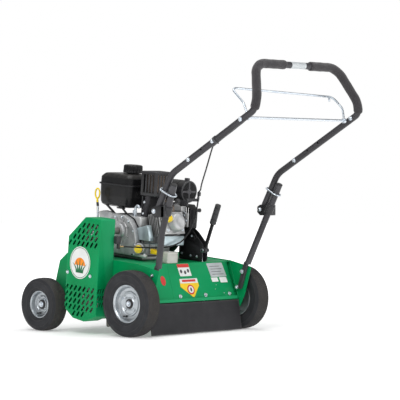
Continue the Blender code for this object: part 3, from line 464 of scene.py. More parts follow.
def joined(shapes):
    """One mesh from several bmeshes."""
    whole = bmesh.new()
    for shape in shapes:
        part = bpy.data.meshes.new("part")
        shape.to_mesh(part)
        shape.free()
        whole.from_mesh(part)
        bpy.data.meshes.remove(part)
    bmesh.ops.recalc_face_normals(whole, faces=whole.faces)
    mesh = bpy.data.meshes.new("piece")
    whole.to_mesh(mesh)
    whole.free()
    return mesh


def cut_by(obj, shapes):
    """Cuts shapes out of a piece and keeps the result as its mesh."""
    cutter = bpy.data.objects.new("cutter", joined(shapes))
    bpy.context.scene.collection.objects.link(cutter)
    step = obj.modifiers.new("cut", "BOOLEAN")
    step.operation = "DIFFERENCE"
    step.object = cutter
    bpy.context.view_layer.update()
    graph = bpy.context.evaluated_depsgraph_get()
    obj.data = bpy.data.meshes.new_from_object(obj.evaluated_get(graph))
    obj.modifiers.clear()
    bpy.data.objects.remove(cutter, do_unlink=True)


def piece(name, finish, shapes, body="chassis", place=CHASSIS, stands_for=(), cut=(), edge=0.0, angle=35):
    """One finished piece that rides on a CAD body and may stand for CAD nodes."""
    shapes = shapes if isinstance(shapes, list) else [shapes]
    obj = bpy.data.objects.new(name, joined(shapes))
    bpy.context.scene.collection.objects.link(obj)
    for group in cut:
        cut_by(obj, group if isinstance(group, list) else [group])
    obj.data.transform(place)
    if edge:
        rounding = obj.modifiers.new("edges", "BEVEL")
        rounding.width = edge
        rounding.segments = 2
        rounding.limit_method = "ANGLE"
        rounding.angle_limit = radians(40)
    obj.data.shade_smooth()
    obj.data.set_sharp_from_angle(angle=radians(angle))
    obj.data.materials.clear()
    obj.data.materials.append(FINISHES[finish])
    if body:
        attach(obj, body)
    if stands_for:
        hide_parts(*([stands_for] if isinstance(stands_for, str) else stands_for))
    return obj


# ---- stage, lights and camera ----

def make_stage():
    """A pale floor, a soft white surround and the camera behind the machine's left-hand side."""
    bpy.ops.mesh.primitive_plane_add(size=30)
    floor = bpy.context.object
    floor.name = "floor"
    made = bpy.data.materials.new("studio_floor")
    made.use_nodes = True
    shader = made.node_tree.nodes["Principled BSDF"]
    shader.inputs["Base Color"].default_value = (0.86, 0.86, 0.86, 1)
    shader.inputs["Roughness"].default_value = 0.9
    shader.inputs["Emission Color"].default_value = (1, 1, 1, 1)
    spot = made.node_tree.nodes.new("ShaderNodeTexCoord")
    reach = made.node_tree.nodes.new("ShaderNodeVectorMath")
    reach.operation = "LENGTH"
    glow = made.node_tree.nodes.new("ShaderNodeMapRange")
    for socket, value in (("From Min", 1.0), ("From Max", 3.2), ("To Min", 0.27), ("To Max", 1.0)):
        glow.inputs[socket].default_value = value
    made.node_tree.links.new(spot.outputs["Object"], reach.inputs[0])
    made.node_tree.links.new(reach.outputs["Value"], glow.inputs["Value"])
    made.node_tree.links.new(glow.outputs[0], shader.inputs["Emission Strength"])
    floor.data.materials.append(made)
    world = bpy.data.worlds.new("studio")
    world.use_nodes = True
    tree = world.node_tree
    seen = tree.nodes.new("ShaderNodeLightPath")
    level = tree.nodes.new("ShaderNodeMapRange")
    level.inputs["To Min"].default_value = 0.42
    level.inputs["To Max"].default_value = 1.0
    tree.links.new(seen.outputs["Is Camera Ray"], level.inputs["Value"])
    tree.links.new(level.outputs[0], tree.nodes["Background"].inputs["Strength"])
    tree.nodes["Background"].inputs["Color"].default_value = (1.0, 1.0, 1.0, 1)
    bpy.context.scene.world = world
    bpy.context.scene.view_settings.view_transform = "Standard"
    for name, place, size, power in (("key", (-3.2, -1.6, 3.4), 2.2, 95),
                                     ("fill", (1.8, -3.8, 2.2), 2.6, 45),
                                     ("top", (0.3, 0.6, 4.2), 2.4, 60)):
        light = bpy.data.lights.new(name, "AREA")
        light.size = size
        light.energy = power
        lamp = bpy.data.objects.new(name, light)
        lamp.location = place
        lamp.rotation_euler = (Vector((0, 0, 0.4)) - Vector(place)).to_track_quat("-Z", "Y").to_euler()
        bpy.context.scene.collection.objects.link(lamp)
    camera = bpy.data.objects.new("camera", bpy.data.cameras.new("camera"))
    camera.data.lens = 180
    camera.data.sensor_width = 36
    camera.data.clip_end = 60
    azimuth, elevation = radians(-46.5), radians(0.6)
    camera.location = (-5.736, -5.4925, 0.6117)
    look = Vector((-sin(azimuth) * cos(elevation), cos(azimuth) * cos(elevation), -sin(elevation)))
    camera.rotation_euler = look.to_track_quat("-Z", "Y").to_euler()
    bpy.context.scene.collection.objects.link(camera)
    bpy.context.scene.camera = camera


# ---- deck ----

DECK_PROFILE = [(-0.036, 0.135), (0.026, DECK_TOP_Z), (0.43, DECK_TOP_Z), (0.471, 0.242), (0.487, 0.163)]
SIDE_OUTLINE = [(-0.047, 0.102), (-0.068, 0.154), (-0.092, 0.265), (0.024, 0.2795), (0.43, 0.2795),
                (0.472, 0.243), (0.489, 0.163), (0.489, 0.075), (0.4, 0.045), (0.08, 0.045)]
SHEET = 0.003


def rear_point(share, lift=0.0):
    """A chassis point (y, z) on the deck's rear panel, share of the way up, lifted off its surface."""
    low, high = Vector(DECK_PROFILE[0]), Vector(DECK_PROFILE[1])
    along = (high - low).normalized()
    spot = low.lerp(high, share) + Vector((-along.y, along.x)) * lift
    return spot.x, spot.y


def rear_plate(name, finish, x_low, x_high, share_low, share_high, outline=None, lift=0.0004, slant=0.0):
    """A thin flat piece on the rear panel; outline is in shares of its own width and height."""
    outline = outline or [(0, 0), (1, 0), (1, 1), (0, 1)]
    bm = bmesh.new()
    faces = []
    for depth in (lift, lift + 0.0005):
        ring = []
        for across, up in outline:
            share = share_low + (share_high - share_low) * up
            ring.append(bm.verts.new((x_low + (x_high - x_low) * across + slant * up,
                                      *rear_point(share, depth))))
        faces.append(ring)
    bm.faces.new(faces[0])
    bm.faces.new(faces[1][::-1])
    count = len(outline)
    for k in range(count):
        bm.faces.new((faces[0][k], faces[1][k], faces[1][(k + 1) % count], faces[0][(k + 1) % count]))
    return piece(name, finish, bm)


def make_deck():
    """The folded deck sheet, its rear panel and the side plates with the rotor's bearings."""
    path = [DECK_PROFILE[1], (0.2, DECK_TOP_Z)] + DECK_PROFILE[2:]
    outer = [tuple(point.xy) for point in rounded_route([(*point, 0) for point in path], 0.012, 6)]
    inner = [tuple(point) for point in inset(outer + [(0.484, 0.1), (0.029, 0.1)], SHEET)[:len(outer)]]
    inner[0] = (outer[0][0] + 0.001, outer[0][1] - SHEET)
    slot = box((0.106, 0.03, 0.265), (0.127, 0.085, 0.285))
    piece("deck_top_sheet", "green", prism(outer + inner[::-1], -DECK_HALF, DECK_HALF), cut=[slot],
          stands_for="deck_top")
    make_rear_panel()
    for side, name in ((-1, "left"), (1, "right")):
        near, far = sorted((side * (DECK_HALF + 0.0003), side * (DECK_HALF + 0.0003 + SHEET)))
        holes = [bar((side * 0.24, *yz), (side * 0.29, *yz), radius, edge=0)
                 for yz, radius in ((ROTOR_YZ, 0.013), (LIFT_PIVOT_YZ, 0.0125))]
        piece(f"deck_plate_{name}", "green", prism(rounded_outline(SIDE_OUTLINE, 0.006), near, far, 0.0006),
              cut=holes, stands_for=f"deck_side_{name}")
        flange = [lathe([(0, 0.013), (0, 0.029), (0.004, 0.029), (0.0045, 0.021), (0.0068, 0.02),
                         (0.007, 0.013)], (side * 0.2654, *ROTOR_YZ), (side, 0, 0), 48, closed=True),
                  lathe([(0, 0.013), (0, 0.025), (0.005, 0.025), (0.0055, 0.018), (0.006, 0.013)],
                        (side * 0.2618, *ROTOR_YZ), (-side, 0, 0), 48, closed=True)]
        piece(f"rotor_bearing_{name}", "black", flange)
        seats = [(side * 0.2694, *polar(ROTOR_YZ, 0.0245, radians(30 + 120 * k))) for k in range(3)]
        bolt_set(f"bearing_bolts_{name}", seats, (side, 0, 0), 0.0032)
        weld = [(side * 0.2612, y, z) for y, z in DECK_PROFILE]
        piece(f"deck_seam_{name}", "green", sweep(rounded_route(weld, 0.012, 5), 0.0016, 8))


def make_rear_panel():
    """The sloping rear sheet, folded forwards near its right-hand end, with a clamped lower edge."""
    stations = [(-DECK_HALF, 0, 0), (0.238, 0, 0), (0.245, 0.005, 0.002), (DECK_HALF, 0.018, 0.006)]
    bm = bmesh.new()
    rows = []
    for x, top_in, low_in in stations:
        ring = []
        for share, forward in ((0, low_in), (1, top_in)):
            y, z = rear_point(share)
            ring.append(bm.verts.new((x, y + forward, z)))
        for share, forward in ((1, top_in), (0, low_in)):
            y, z = rear_point(share, -SHEET)
            ring.append(bm.verts.new((x, y + forward, z)))
        rows.append(ring)
    for first, second in zip(rows, rows[1:]):
        for k in range(4):
            bm.faces.new((first[k], first[(k + 1) % 4], second[(k + 1) % 4], second[k]))
    bm.faces.new(rows[0])
    bm.faces.new(rows[-1][::-1])
    piece("rear_panel", "green", bm, edge=0.0008)
    hem = [(-0.04, 0.1445), (-0.0345, 0.142), (-0.035, 0.1308), (-0.0415, 0.1312)]
    piece("flap_clamp", "green", prism(rounded_outline(hem, 0.001, 3), -0.25, 0.25))
    seats = [(x, *rear_point(0.115, 0.0012)) for x in (-0.0735, 0.0715, 0.2125)]
    bolt_set("flap_bolts", seats, (0, -0.9154, 0.4025), 0.0052)
    rivets = [bar((x, *rear_point(share, 0)), (x, *rear_point(share, 0.0012)), 0.0016, sides=16)
              for x, share in ((0.147, 0.37), (0.137, 0.26), (0.183, 0.14))]
    piece("rear_rivets", "zinc", rivets)
    piece("panel_crease", "green", sweep([(-0.11, *rear_point(0.04, 0.0)),
                                          (-0.104, *rear_point(0.97, 0.0))], 0.0011, 8))
    soft = rounded_outline([(0, 0), (1, 0), (1, 1), (0, 1)], 0.06, 3)
    rear_plate("notice_plate", "label_white", -0.046, 0.0195, 0.645, 0.975, soft, slant=-0.006)
    rear_plate("notice_band", "label_red", -0.0505, 0.0145, 0.88, 0.972, soft, lift=0.001, slant=-0.002)
    shield = [(0.03, 1), (0.97, 1), (1, 0.61), (0.61, 0), (0.56, 0), (0, 0.58)]
    rear_plate("guard_notice", "label_yellow", -0.059, 0.047, 0.08, 0.572, shield)
    rear_plate("guard_notice_band", "label_white", -0.056, 0.044, 0.455, 0.575, None, lift=0.001)
    disc = [(0.5 + 0.5 * cos(2 * pi * k / 32), 0.5 + 0.5 * sin(2 * pi * k / 32)) for k in range(32)]
    rear_plate("guard_notice_head", "label_red", -0.044, 0.032, 0.49, 0.548, None, lift=0.0016)
    rear_plate("guard_notice_ring", "label_red", -0.0245, 0.0155, 0.15, 0.41, disc, lift=0.001)
    rear_plate("guard_notice_disc", "label_white", -0.0185, 0.0095, 0.189, 0.371, disc, lift=0.0016)
    rear_plate("guard_notice_bar", "charcoal", -0.0095, 0.0005, 0.225, 0.335, disc, lift=0.0022)
    blob = [(0.5 + 0.5 * cos(pi * k / 3), 0.5 + 0.5 * sin(pi * k / 3)) for k in range(6)]
    for k, (x, share) in enumerate(((-0.036, 0.775), (-0.014, 0.745), (0.004, 0.785))):
        rear_plate(f"notice_mark_{k}", "charcoal", x - 0.007, x + 0.007, share - 0.055, share + 0.055, blob,
                   lift=0.001)
    rear_plate("side_mark", "label_red", -0.161, -0.135, 0.42, 0.68, disc)
    rear_plate("rating_plate", "label_silver", 0.129, 0.2205, 0.585, 0.965, soft, slant=-0.0105)
    rear_plate("small_plate_left", "label_white", 0.13, 0.167, 0.455, 0.57, soft, slant=-0.004)
    rear_plate("small_plate_right", "label_white", 0.178, 0.219, 0.425, 0.57, soft, slant=-0.004)
    for k in range(4):
        shift = -0.0022 * k
        rear_plate(f"rating_line_{k}", "charcoal", 0.14 + shift, 0.205 - 0.01 * (k % 2) + shift,
                   0.65 + 0.072 * k, 0.662 + 0.072 * k, None, lift=0.001)


def make_flap():
    """The rubber curtain behind the rotor, slightly wavy at its free edge."""
    top, bottom = Vector((-0.0405, 0.1275)), Vector((-0.069, 0.01))
    thick = Vector((0.004, -0.001))
    columns, rows = 72, 14
    bm = bmesh.new()
    grid = []
    for face in range(2):
        side = []
        for i in range(columns + 1):
            x = -0.258 + 0.516 * i / columns
            line = []
            for j in range(rows + 1):
                share = j / rows
                spot = top.lerp(bottom, share) + thick * face
                wave = 0.0016 * share ** 2 * sin(x * 26 + 0.6) + 0.0009 * share * sin(x * 61)
                line.append(bm.verts.new((x, spot.x + wave, spot.y)))
            side.append(line)
        grid.append(side)
    for side in grid:
        for i in range(columns):
            for j in range(rows):
                bm.faces.new((side[i][j], side[i + 1][j], side[i + 1][j + 1], side[i][j + 1]))
    rim = [(i, 0) for i in range(columns)] + [(columns, j) for j in range(rows)]
    rim += [(i, rows) for i in range(columns, 0, -1)] + [(0, j) for j in range(rows, 0, -1)]
    for (i, j), (m, n) in zip(rim, rim[1:] + rim[:1]):
        bm.faces.new((grid[0][i][j], grid[0][m][n], grid[1][m][n], grid[1][i][j]))
    piece("flap_curtain", "rubber", bm, body="flap", stands_for="rubber_flap")


# ---- belt guard ----

GUARD_OUT_X = -0.345
GUARD_IN_X = -0.2662
GUARD_OUTLINE = [(0.164, 0.441), (0.252, 0.4415), (0.3435, 0.358), (0.3445, 0.071), (0.294, 0.037),
                 (0.23, 0.03), (0.163, 0.058)]
SLOT_PITCH = 0.0246


def slot_rows():
    """Each guard slot's centre (y, z): upper rows grow by one, lower rows are full, the last is short."""
    for count, z in ((4, 0.409), (5, 0.385), (6, 0.36), (7, 0.335)):
        for column in range(count):
            yield 0.1845 + column * SLOT_PITCH, z
    for z in (0.157, 0.131, 0.106, 0.081):
        for column in range(7):
            yield 0.1885 + column * SLOT_PITCH, z
    for column in range(3):
        yield 0.239 + column * SLOT_PITCH, 0.057


def slot_shape(y, z):
    """The cutter for one leaning slot of the guard."""
    low, high = (y + 0.0046, z - 0.0066), (y - 0.0046, z + 0.0066)
    return prism(link_outline(low, high, 0.0049, 5), GUARD_OUT_X - 0.004, GUARD_OUT_X + 0.006)


def make_belt_guard():
    """The guard's slotted cup, its back plate and bolts, and the cable's anchor."""
    outline = rounded_outline(GUARD_OUTLINE, 0.008, 4)
    shell = bmesh.new()
    rings = [[shell.verts.new((x, y, z)) for y, z in (inset(outline, back) if back else outline)]
             for x, back in ((GUARD_IN_X, 0.0), (GUARD_OUT_X + 0.0022, 0.0), (GUARD_OUT_X + 0.0007, 0.0007),
                             (GUARD_OUT_X, 0.0022), (GUARD_OUT_X + 0.002, 0.003),
                             (GUARD_OUT_X + 0.003, 0.002), (GUARD_IN_X, 0.002))]
    shell.faces.new(rings[3])
    shell.faces.new(rings[4])
    for low, high in ((0, 1), (1, 2), (2, 3), (4, 5), (5, 6), (6, 0)):
        for k in range(len(outline)):
            after = (k + 1) % len(outline)
            shell.faces.new((rings[low][k], rings[low][after], rings[high][after], rings[high][k]))
    slots = [slot_shape(y, z) for y, z in slot_rows()]
    for row in range(3):
        for column in range(3):
            x, z = -0.336 + 0.0125 * column, 0.157 - 0.0265 * row
            bm = box((-0.0036, 0.15, -0.0095), (0.0036, 0.172, 0.0095), 0.0012)
            lean = Matrix.Translation((x, 0, z)) @ Matrix.Rotation(radians(22), 4, "Y")
            bmesh.ops.transform(bm, matrix=lean, verts=bm.verts)
            slots.append(bm)
    piece("guard_shell", "green", shell, cut=[slots], stands_for="belt_guard", angle=30)
    plate = prism(rounded_outline(inset(GUARD_OUTLINE, 0.003)[:], 0.004), -0.2682, -0.2664)
    holes = [bar((-0.28, *yz), (-0.25, *yz), radius, edge=0)
             for yz, radius in ((ROTOR_YZ, 0.031), (CRANK_YZ, 0.03), ((0.322, 0.338), 0.01))]
    piece("guard_backplate", "black", plate, cut=holes)
    bolt_set("guard_bolts", [(GUARD_OUT_X, 0.336, 0.215), (GUARD_OUT_X, 0.206, 0.213)], (-1, 0, 0), 0.00465)
    piece("guard_stud", "steel", [bar((GUARD_OUT_X, 0.236, 0.131), (GUARD_OUT_X - 0.003, 0.236, 0.131),
                                      0.0035)])
    piece("cable_anchor", "black", [box((-0.272, 0.144, 0.345), (-0.248, 0.162, 0.374), 0.002),
                                    box((-0.261, 0.1445, 0.325), (-0.251, 0.1555, 0.35), 0.0015)])
    barrel = lathe([(0, 0.0026), (0.001, 0.0048), (0.012, 0.0048), (0.013, 0.0038), (0.027, 0.004),
                    (0.03, 0.0034)], (-0.259, 0.15, 0.333), (1, 0, 0), 32)
    piece("cable_barrel", "brass", [barrel, hexagon((-0.25, 0.15, 0.333), (1, 0, 0), 0.0062, 0.004)])


def oval(name, finish, centre, half_y, half_z, thickness, hole=None, steps=64):
    """A flat oval on the guard's face, with a smaller oval left open when a hole is given."""
    def ring(scale):
        return [(centre[0] + half_y * scale * cos(2 * pi * k / steps),
                 centre[1] + half_z * scale * sin(2 * pi * k / steps)) for k in range(steps)]
    x_low, x_high = GUARD_OUT_X - thickness, GUARD_OUT_X - thickness + 0.0004
    if not hole:
        return piece(name, finish, prism(ring(1), x_low, x_high))
    bm = bmesh.new()
    loops = [[bm.verts.new((x, y, z)) for y, z in ring(scale)]
             for x, scale in ((x_low, 1), (x_low, hole), (x_high, hole), (x_high, 1))]
    for first, second in zip(loops, loops[1:] + loops[:1]):
        for k in range(steps):
            bm.faces.new((first[k], first[(k + 1) % steps], second[(k + 1) % steps], second[k]))
    return piece(name, finish, bm)


def make_badge():
    """A generic oval badge: a tuft of grass in front of a low sun."""
    y, z = 0.268, 0.259
    oval("badge_field", "label_white", (y, z), 0.058, 0.064, 0.0006)
    oval("badge_ring", "label_green", (y, z), 0.0545, 0.0605, 0.001, hole=0.965)
    sun = [polar((y, z - 0.01), 0.03, pi * k / 24) for k in range(25)]
    piece("badge_sun", "label_orange", prism(sun, GUARD_OUT_X - 0.0011, GUARD_OUT_X - 0.0005))
    blades = []
    for k, lean in enumerate((-0.62, -0.3, 0.0, 0.32, 0.66)):
        height = 0.058 - 0.01 * abs(k - 2)
        root = (y + 0.008 * (k - 2), z - 0.04)
        left, right = [], []
        for step in range(9):
            t = step / 8
            middle = (root[0] + lean * height * t * t, root[1] + height * t)
            half = 0.005 * (1 - t) ** 0.7
            left.append((middle[0] - half, middle[1]))
            right.append((middle[0] + half + (0.0001 if step == 8 else 0), middle[1]))
        blades.append(prism(left + right[::-1], GUARD_OUT_X - 0.0015, GUARD_OUT_X - 0.0008))
    piece("badge_grass", "label_green", blades)


# ---- wheels and axles ----

TREAD_GROOVES = (0.0262, 0.0205, 0.0145, 0.0085, 0.0028)


def tyre_section(radius, rim_radius):
    """Half tyre section from bead to tread middle, as (x, radius), with side rings and tread ribs."""
    section = [(0.0225, rim_radius + 0.0006), (0.0265, rim_radius + 0.0015), (0.03, rim_radius + 0.006)]
    middle = (radius + rim_radius) / 2
    section += [(0.0338, rim_radius + 0.012), (0.0346, rim_radius + 0.0122), (0.0348, rim_radius + 0.014),
                (0.0342, rim_radius + 0.0144), (0.0357, middle), (0.0352, middle + 0.009),
                (0.0358, middle + 0.0094), (0.0356, middle + 0.011), (0.0346, middle + 0.0114),
                (0.0318, radius - 0.0085), (0.03, radius - 0.0055), (0.0304, radius - 0.004),
                (0.029, radius - 0.0032)]
    for groove in TREAD_GROOVES:
        crown = radius - 0.003 * (groove / 0.029) ** 2
        section += [(groove + 0.0015, crown), (groove + 0.0008, crown - 0.0032),
                    (groove - 0.0008, crown - 0.0032), (groove - 0.0015, crown)]
    return section


def make_wheel(name, body, radius, rim_radius, side, centre):
    start = (side * TRACK_HALF, *centre)
    """A pneumatic tyre on a pressed rim with four bosses, a bush and a valve."""
    half = tyre_section(radius, rim_radius)
    section = half + [(-x, r) for x, r in half[::-1]]
    piece(f"{name}_tyre_cover", "tyre", lathe(section, start, (1, 0, 0), 112, closed=True), body, LEVEL,
          f"{name}_tyre", angle=28)
    dust = []
    for groove in TREAD_GROOVES:
        crown = radius - 0.003 * (groove / 0.029) ** 2
        for x in (groove, -groove):
            dust.append(lathe([(x - 0.0011, crown - 0.0036), (x - 0.0011, crown - 0.0016),
                               (x + 0.0011, crown - 0.0016), (x + 0.0011, crown - 0.0036)], start,
                              (1, 0, 0), 96, closed=True))
    piece(f"{name}_tread_soil", "soil", dust, body, LEVEL)
    lip = rim_radius + 0.0008
    k = rim_radius / 0.073
    outer = [(0.0225, lip - 0.004), (0.0262, lip), (0.0268, lip - 0.0016), (0.0262, lip - 0.0034),
             (0.0235, lip - 0.005), (0.0215, 0.066 * k), (0.012, 0.064 * k), (0.0075, 0.061 * k),
             (0.0058, 0.056 * k), (0.0062, 0.049 * k), (0.01, 0.046 * k), (0.0104, 0.0425 * k),
             (0.0072, 0.039 * k), (0.0068, 0.026 * k), (0.009, 0.0235), (0.0105, 0.0215), (0.01, 0.0192),
             (0.006, 0.0188)]
    inner = [(-0.004, 0.0188), (-0.004, 0.04 * k), (-0.003, 0.058 * k), (-0.0215, 0.064 * k),
             (-0.0235, lip - 0.005), (-0.0262, lip - 0.0034), (-0.0268, lip - 0.0016), (-0.0262, lip),
             (-0.0225, lip - 0.004)]
    shell = lathe(outer + inner, start, (side, 0, 0), 96, closed=True)
    hub = lathe([(-0.02, 0.0095), (-0.02, 0.0185), (0.0122, 0.0185), (0.0134, 0.0172), (0.0134, 0.0095)],
                start, (side, 0, 0), 48, closed=True)
    bosses = []
    for n in range(4):
        y, z = polar(centre, 0.033 * k + 0.001, radians(45 + 90 * n))
        bosses += [bar((side * (TRACK_HALF + 0.006), y, z), (side * (TRACK_HALF + 0.0088), y, z),
                       0.0044 * k + 0.0008),
                   hexagon((side * (TRACK_HALF + 0.0086), y, z), (side, 0, 0), 0.0038 * k + 0.0006, 0.003)]
    piece(f"{name}_rim_shell", "galvanised", [shell] + bosses, body, LEVEL, f"{name}_rim", angle=30)
    piece(f"{name}_bush", "rubber", hub, body, LEVEL)
    y, z = polar(centre, 0.052 * k, radians(-70))
    stem = lathe([(0, 0.0042), (0.004, 0.004), (0.007, 0.0026), (0.015, 0.0026), (0.0155, 0.0031),
                  (0.021, 0.0031)], (side * (TRACK_HALF + 0.0055), y, z), (side, 0, 0), 20)
    piece(f"{name}_valve", "rubber", stem, body, LEVEL)


def make_wheels():
    """The 260 mm rear wheels and the 214 mm front ones."""
    for side, name in ((-1, "left"), (1, "right")):
        make_wheel(f"rear_{name}", f"rear_wheel_{name}", REAR_WHEEL_R, 0.073, side,
                   (REAR_AXLE_Y, REAR_WHEEL_R))
        make_wheel(f"front_{name}", f"front_wheel_{name}", FRONT_WHEEL_R, 0.054, side,
                   (REAR_AXLE_Y + WHEELBASE, FRONT_WHEEL_R))


def axle_end(side, centre):
    """What closes a wheel's hub: a plated washer, a nut and the axle's threaded end."""
    x = side * (TRACK_HALF + 0.0138)
    return [lathe([(0, 0.005), (0, 0.0115), (0.0014, 0.0115), (0.0017, 0.0105), (0.0017, 0.005)],
                  (x, *centre), (side, 0, 0), 32, closed=True),
            hexagon((x + side * 0.0018, *centre), (side, 0, 0), 0.009, 0.0056),
            bar((x + side * 0.006, *centre), (x + side * 0.0088, *centre), 0.0048, sides=24)]


def axle_yz(ahead, radius):
    """The axle of a wheel that stands on the ground, in the chassis frame."""
    up = radius - PIVOT_Z
    return (ahead * cos(PITCH) + up * sin(PITCH), PIVOT_Z - ahead * sin(PITCH) + up * cos(PITCH))


def make_axles():
    """The rear cranked axle with its lift arm, and the front axle between two plates."""
    centre = axle_yz(0.0, REAR_WHEEL_R)
    end_x = TRACK_HALF + 0.0148
    shapes = [bar((-0.2745, *LIFT_PIVOT_YZ), (0.2745, *LIFT_PIVOT_YZ), 0.011, sides=40)]
    for side in (-1, 1):
        low, high = sorted((side * 0.2672, side * 0.2752))
        shapes += [prism(link_outline(LIFT_PIVOT_YZ, centre, 0.0145), low, high, 0.0008),
                   bar((side * 0.27, *centre), (side * end_x, *centre), 0.0088, sides=32)]
    pin_yz = polar(LIFT_PIVOT_YZ, 0.05, radians(166))
    shapes += [prism(link_outline(LIFT_PIVOT_YZ, pin_yz, 0.01), 0.1125, 0.1175, 0.0005),
               bar((0.114, *pin_yz), (0.126, *pin_yz), 0.004)]
    piece("rear_axle_frame", "black", shapes, "rear_axle_set", stands_for="rear_axle")
    piece("rear_axle_nuts", "zinc", axle_end(-1, centre) + axle_end(1, centre), "rear_axle_set")
    front = axle_yz(WHEELBASE, FRONT_WHEEL_R)
    plate = [(0.425, 0.066), (0.425, 0.12), (0.48, 0.12), (0.517, 0.07), (0.517, 0.044), (0.49, 0.044)]
    shapes = [bar((-end_x, *front), (end_x, *front), 0.0088, sides=32)]
    shapes += [prism(rounded_outline(plate, 0.006), *sorted((side * 0.2575, side * 0.262)), 0.0006)
               for side in (-1, 1)]
    piece("front_axle_bar", "black", shapes, stands_for="front_axle")
    piece("front_axle_nuts", "zinc", axle_end(-1, front) + axle_end(1, front))


# ---- handle ----

def lower_route(side):
    """The bent centre line of a lower tube."""
    points = [(side * 0.2557, -0.0722, 0.27), (side * 0.286, -0.1205, 0.41), (side * 0.303, -0.2005, 0.588)]
    return rounded_route(points, 0.12)


def upper_corners(side):
    """The corners of the upper handle's centre line on one side, up from the fold bolt."""
    return [(side * 0.303, -0.1135, 0.4925), (side * 0.304, -0.1895, 0.631), (side * 0.3015, -0.609, 0.864),
            (side * 0.29, -0.6113, 0.91), (side * 0.243, -0.564, 1.018), (side * 0.205, -0.5545, 1.0405)]


def upper_route():
    """The upper handle's whole centre line, from its left fold bolt round to the right one."""
    right = [(-x, y, z) for x, y, z in upper_corners(-1)[::-1]]
    return rounded_route(upper_corners(-1) + right, 0.09)


def make_lower_tubes():
    """The tubes from the deck to the fold, each with a flattened tongue, a plug, a clevis and bolts."""
    for side, name in ((-1, "left"), (1, "right")):
        route = lower_route(side)
        tongue = prism(link_outline((-0.0315, 0.176), (-0.064, 0.27), 0.0098),
                       *sorted((side * 0.25, side * 0.2615)), 0.0015)
        end = route[-1]
        axis = (route[-1] - route[-2]).normalized()
        plug = lathe([(0, TUBE_R * 0.93), (0.0016, TUBE_R * 1.03), (0.0034, TUBE_R * 1.03),
                      (0.006, TUBE_R * 0.8), (0.0064, 0)], end, axis, 40)
        piece(f"lower_tube_{name}_body", "charcoal", [sweep(route, TUBE_R, 40), tongue], place=LEVEL,
              stands_for=f"lower_tube_{name}")
        piece(f"tube_plug_{name}", "plastic", plug, place=LEVEL)
        centre = Vector((side * 0.2937, -0.1569, 0.491))
        collar = lathe([(-0.018, 0.0132), (-0.018, 0.0175), (-0.0168, 0.0182), (0.0168, 0.0182),
                        (0.018, 0.0175), (0.018, 0.0132)], centre, axis, 48, closed=True)
        ears = []
        for a, b, y in ((0.2845, 0.2885, -0.16), (0.3175, 0.3215, -0.164)):
            outline = [(y, 0.4655), (y, 0.5085), (-0.112, 0.5085), (-0.0975, 0.5), (-0.0975, 0.478),
                       (-0.112, 0.4655)]
            ears.append(prism(rounded_outline(outline, 0.005), *sorted((side * a, side * b)), 0.0008))
        ears.append(box([min(side * 0.3, side * 0.3215), -0.164, 0.4655],
                        [max(side * 0.3, side * 0.3215), -0.148, 0.5085], 0.0015))
        piece(f"fold_clevis_{name}", "black", [collar] + ears, place=LEVEL)
        heads = []
        for yz in ((-0.0315, 0.176), (-0.056, 0.243)):
            heads += bolt((side * 0.25, *yz), (-side, 0, 0), 0.0062, 0.002)
            heads += bolt((side * 0.2655, *yz), (side, 0, 0), 0.005, 0.002)
        piece(f"tube_bolts_{name}", "zinc", heads)


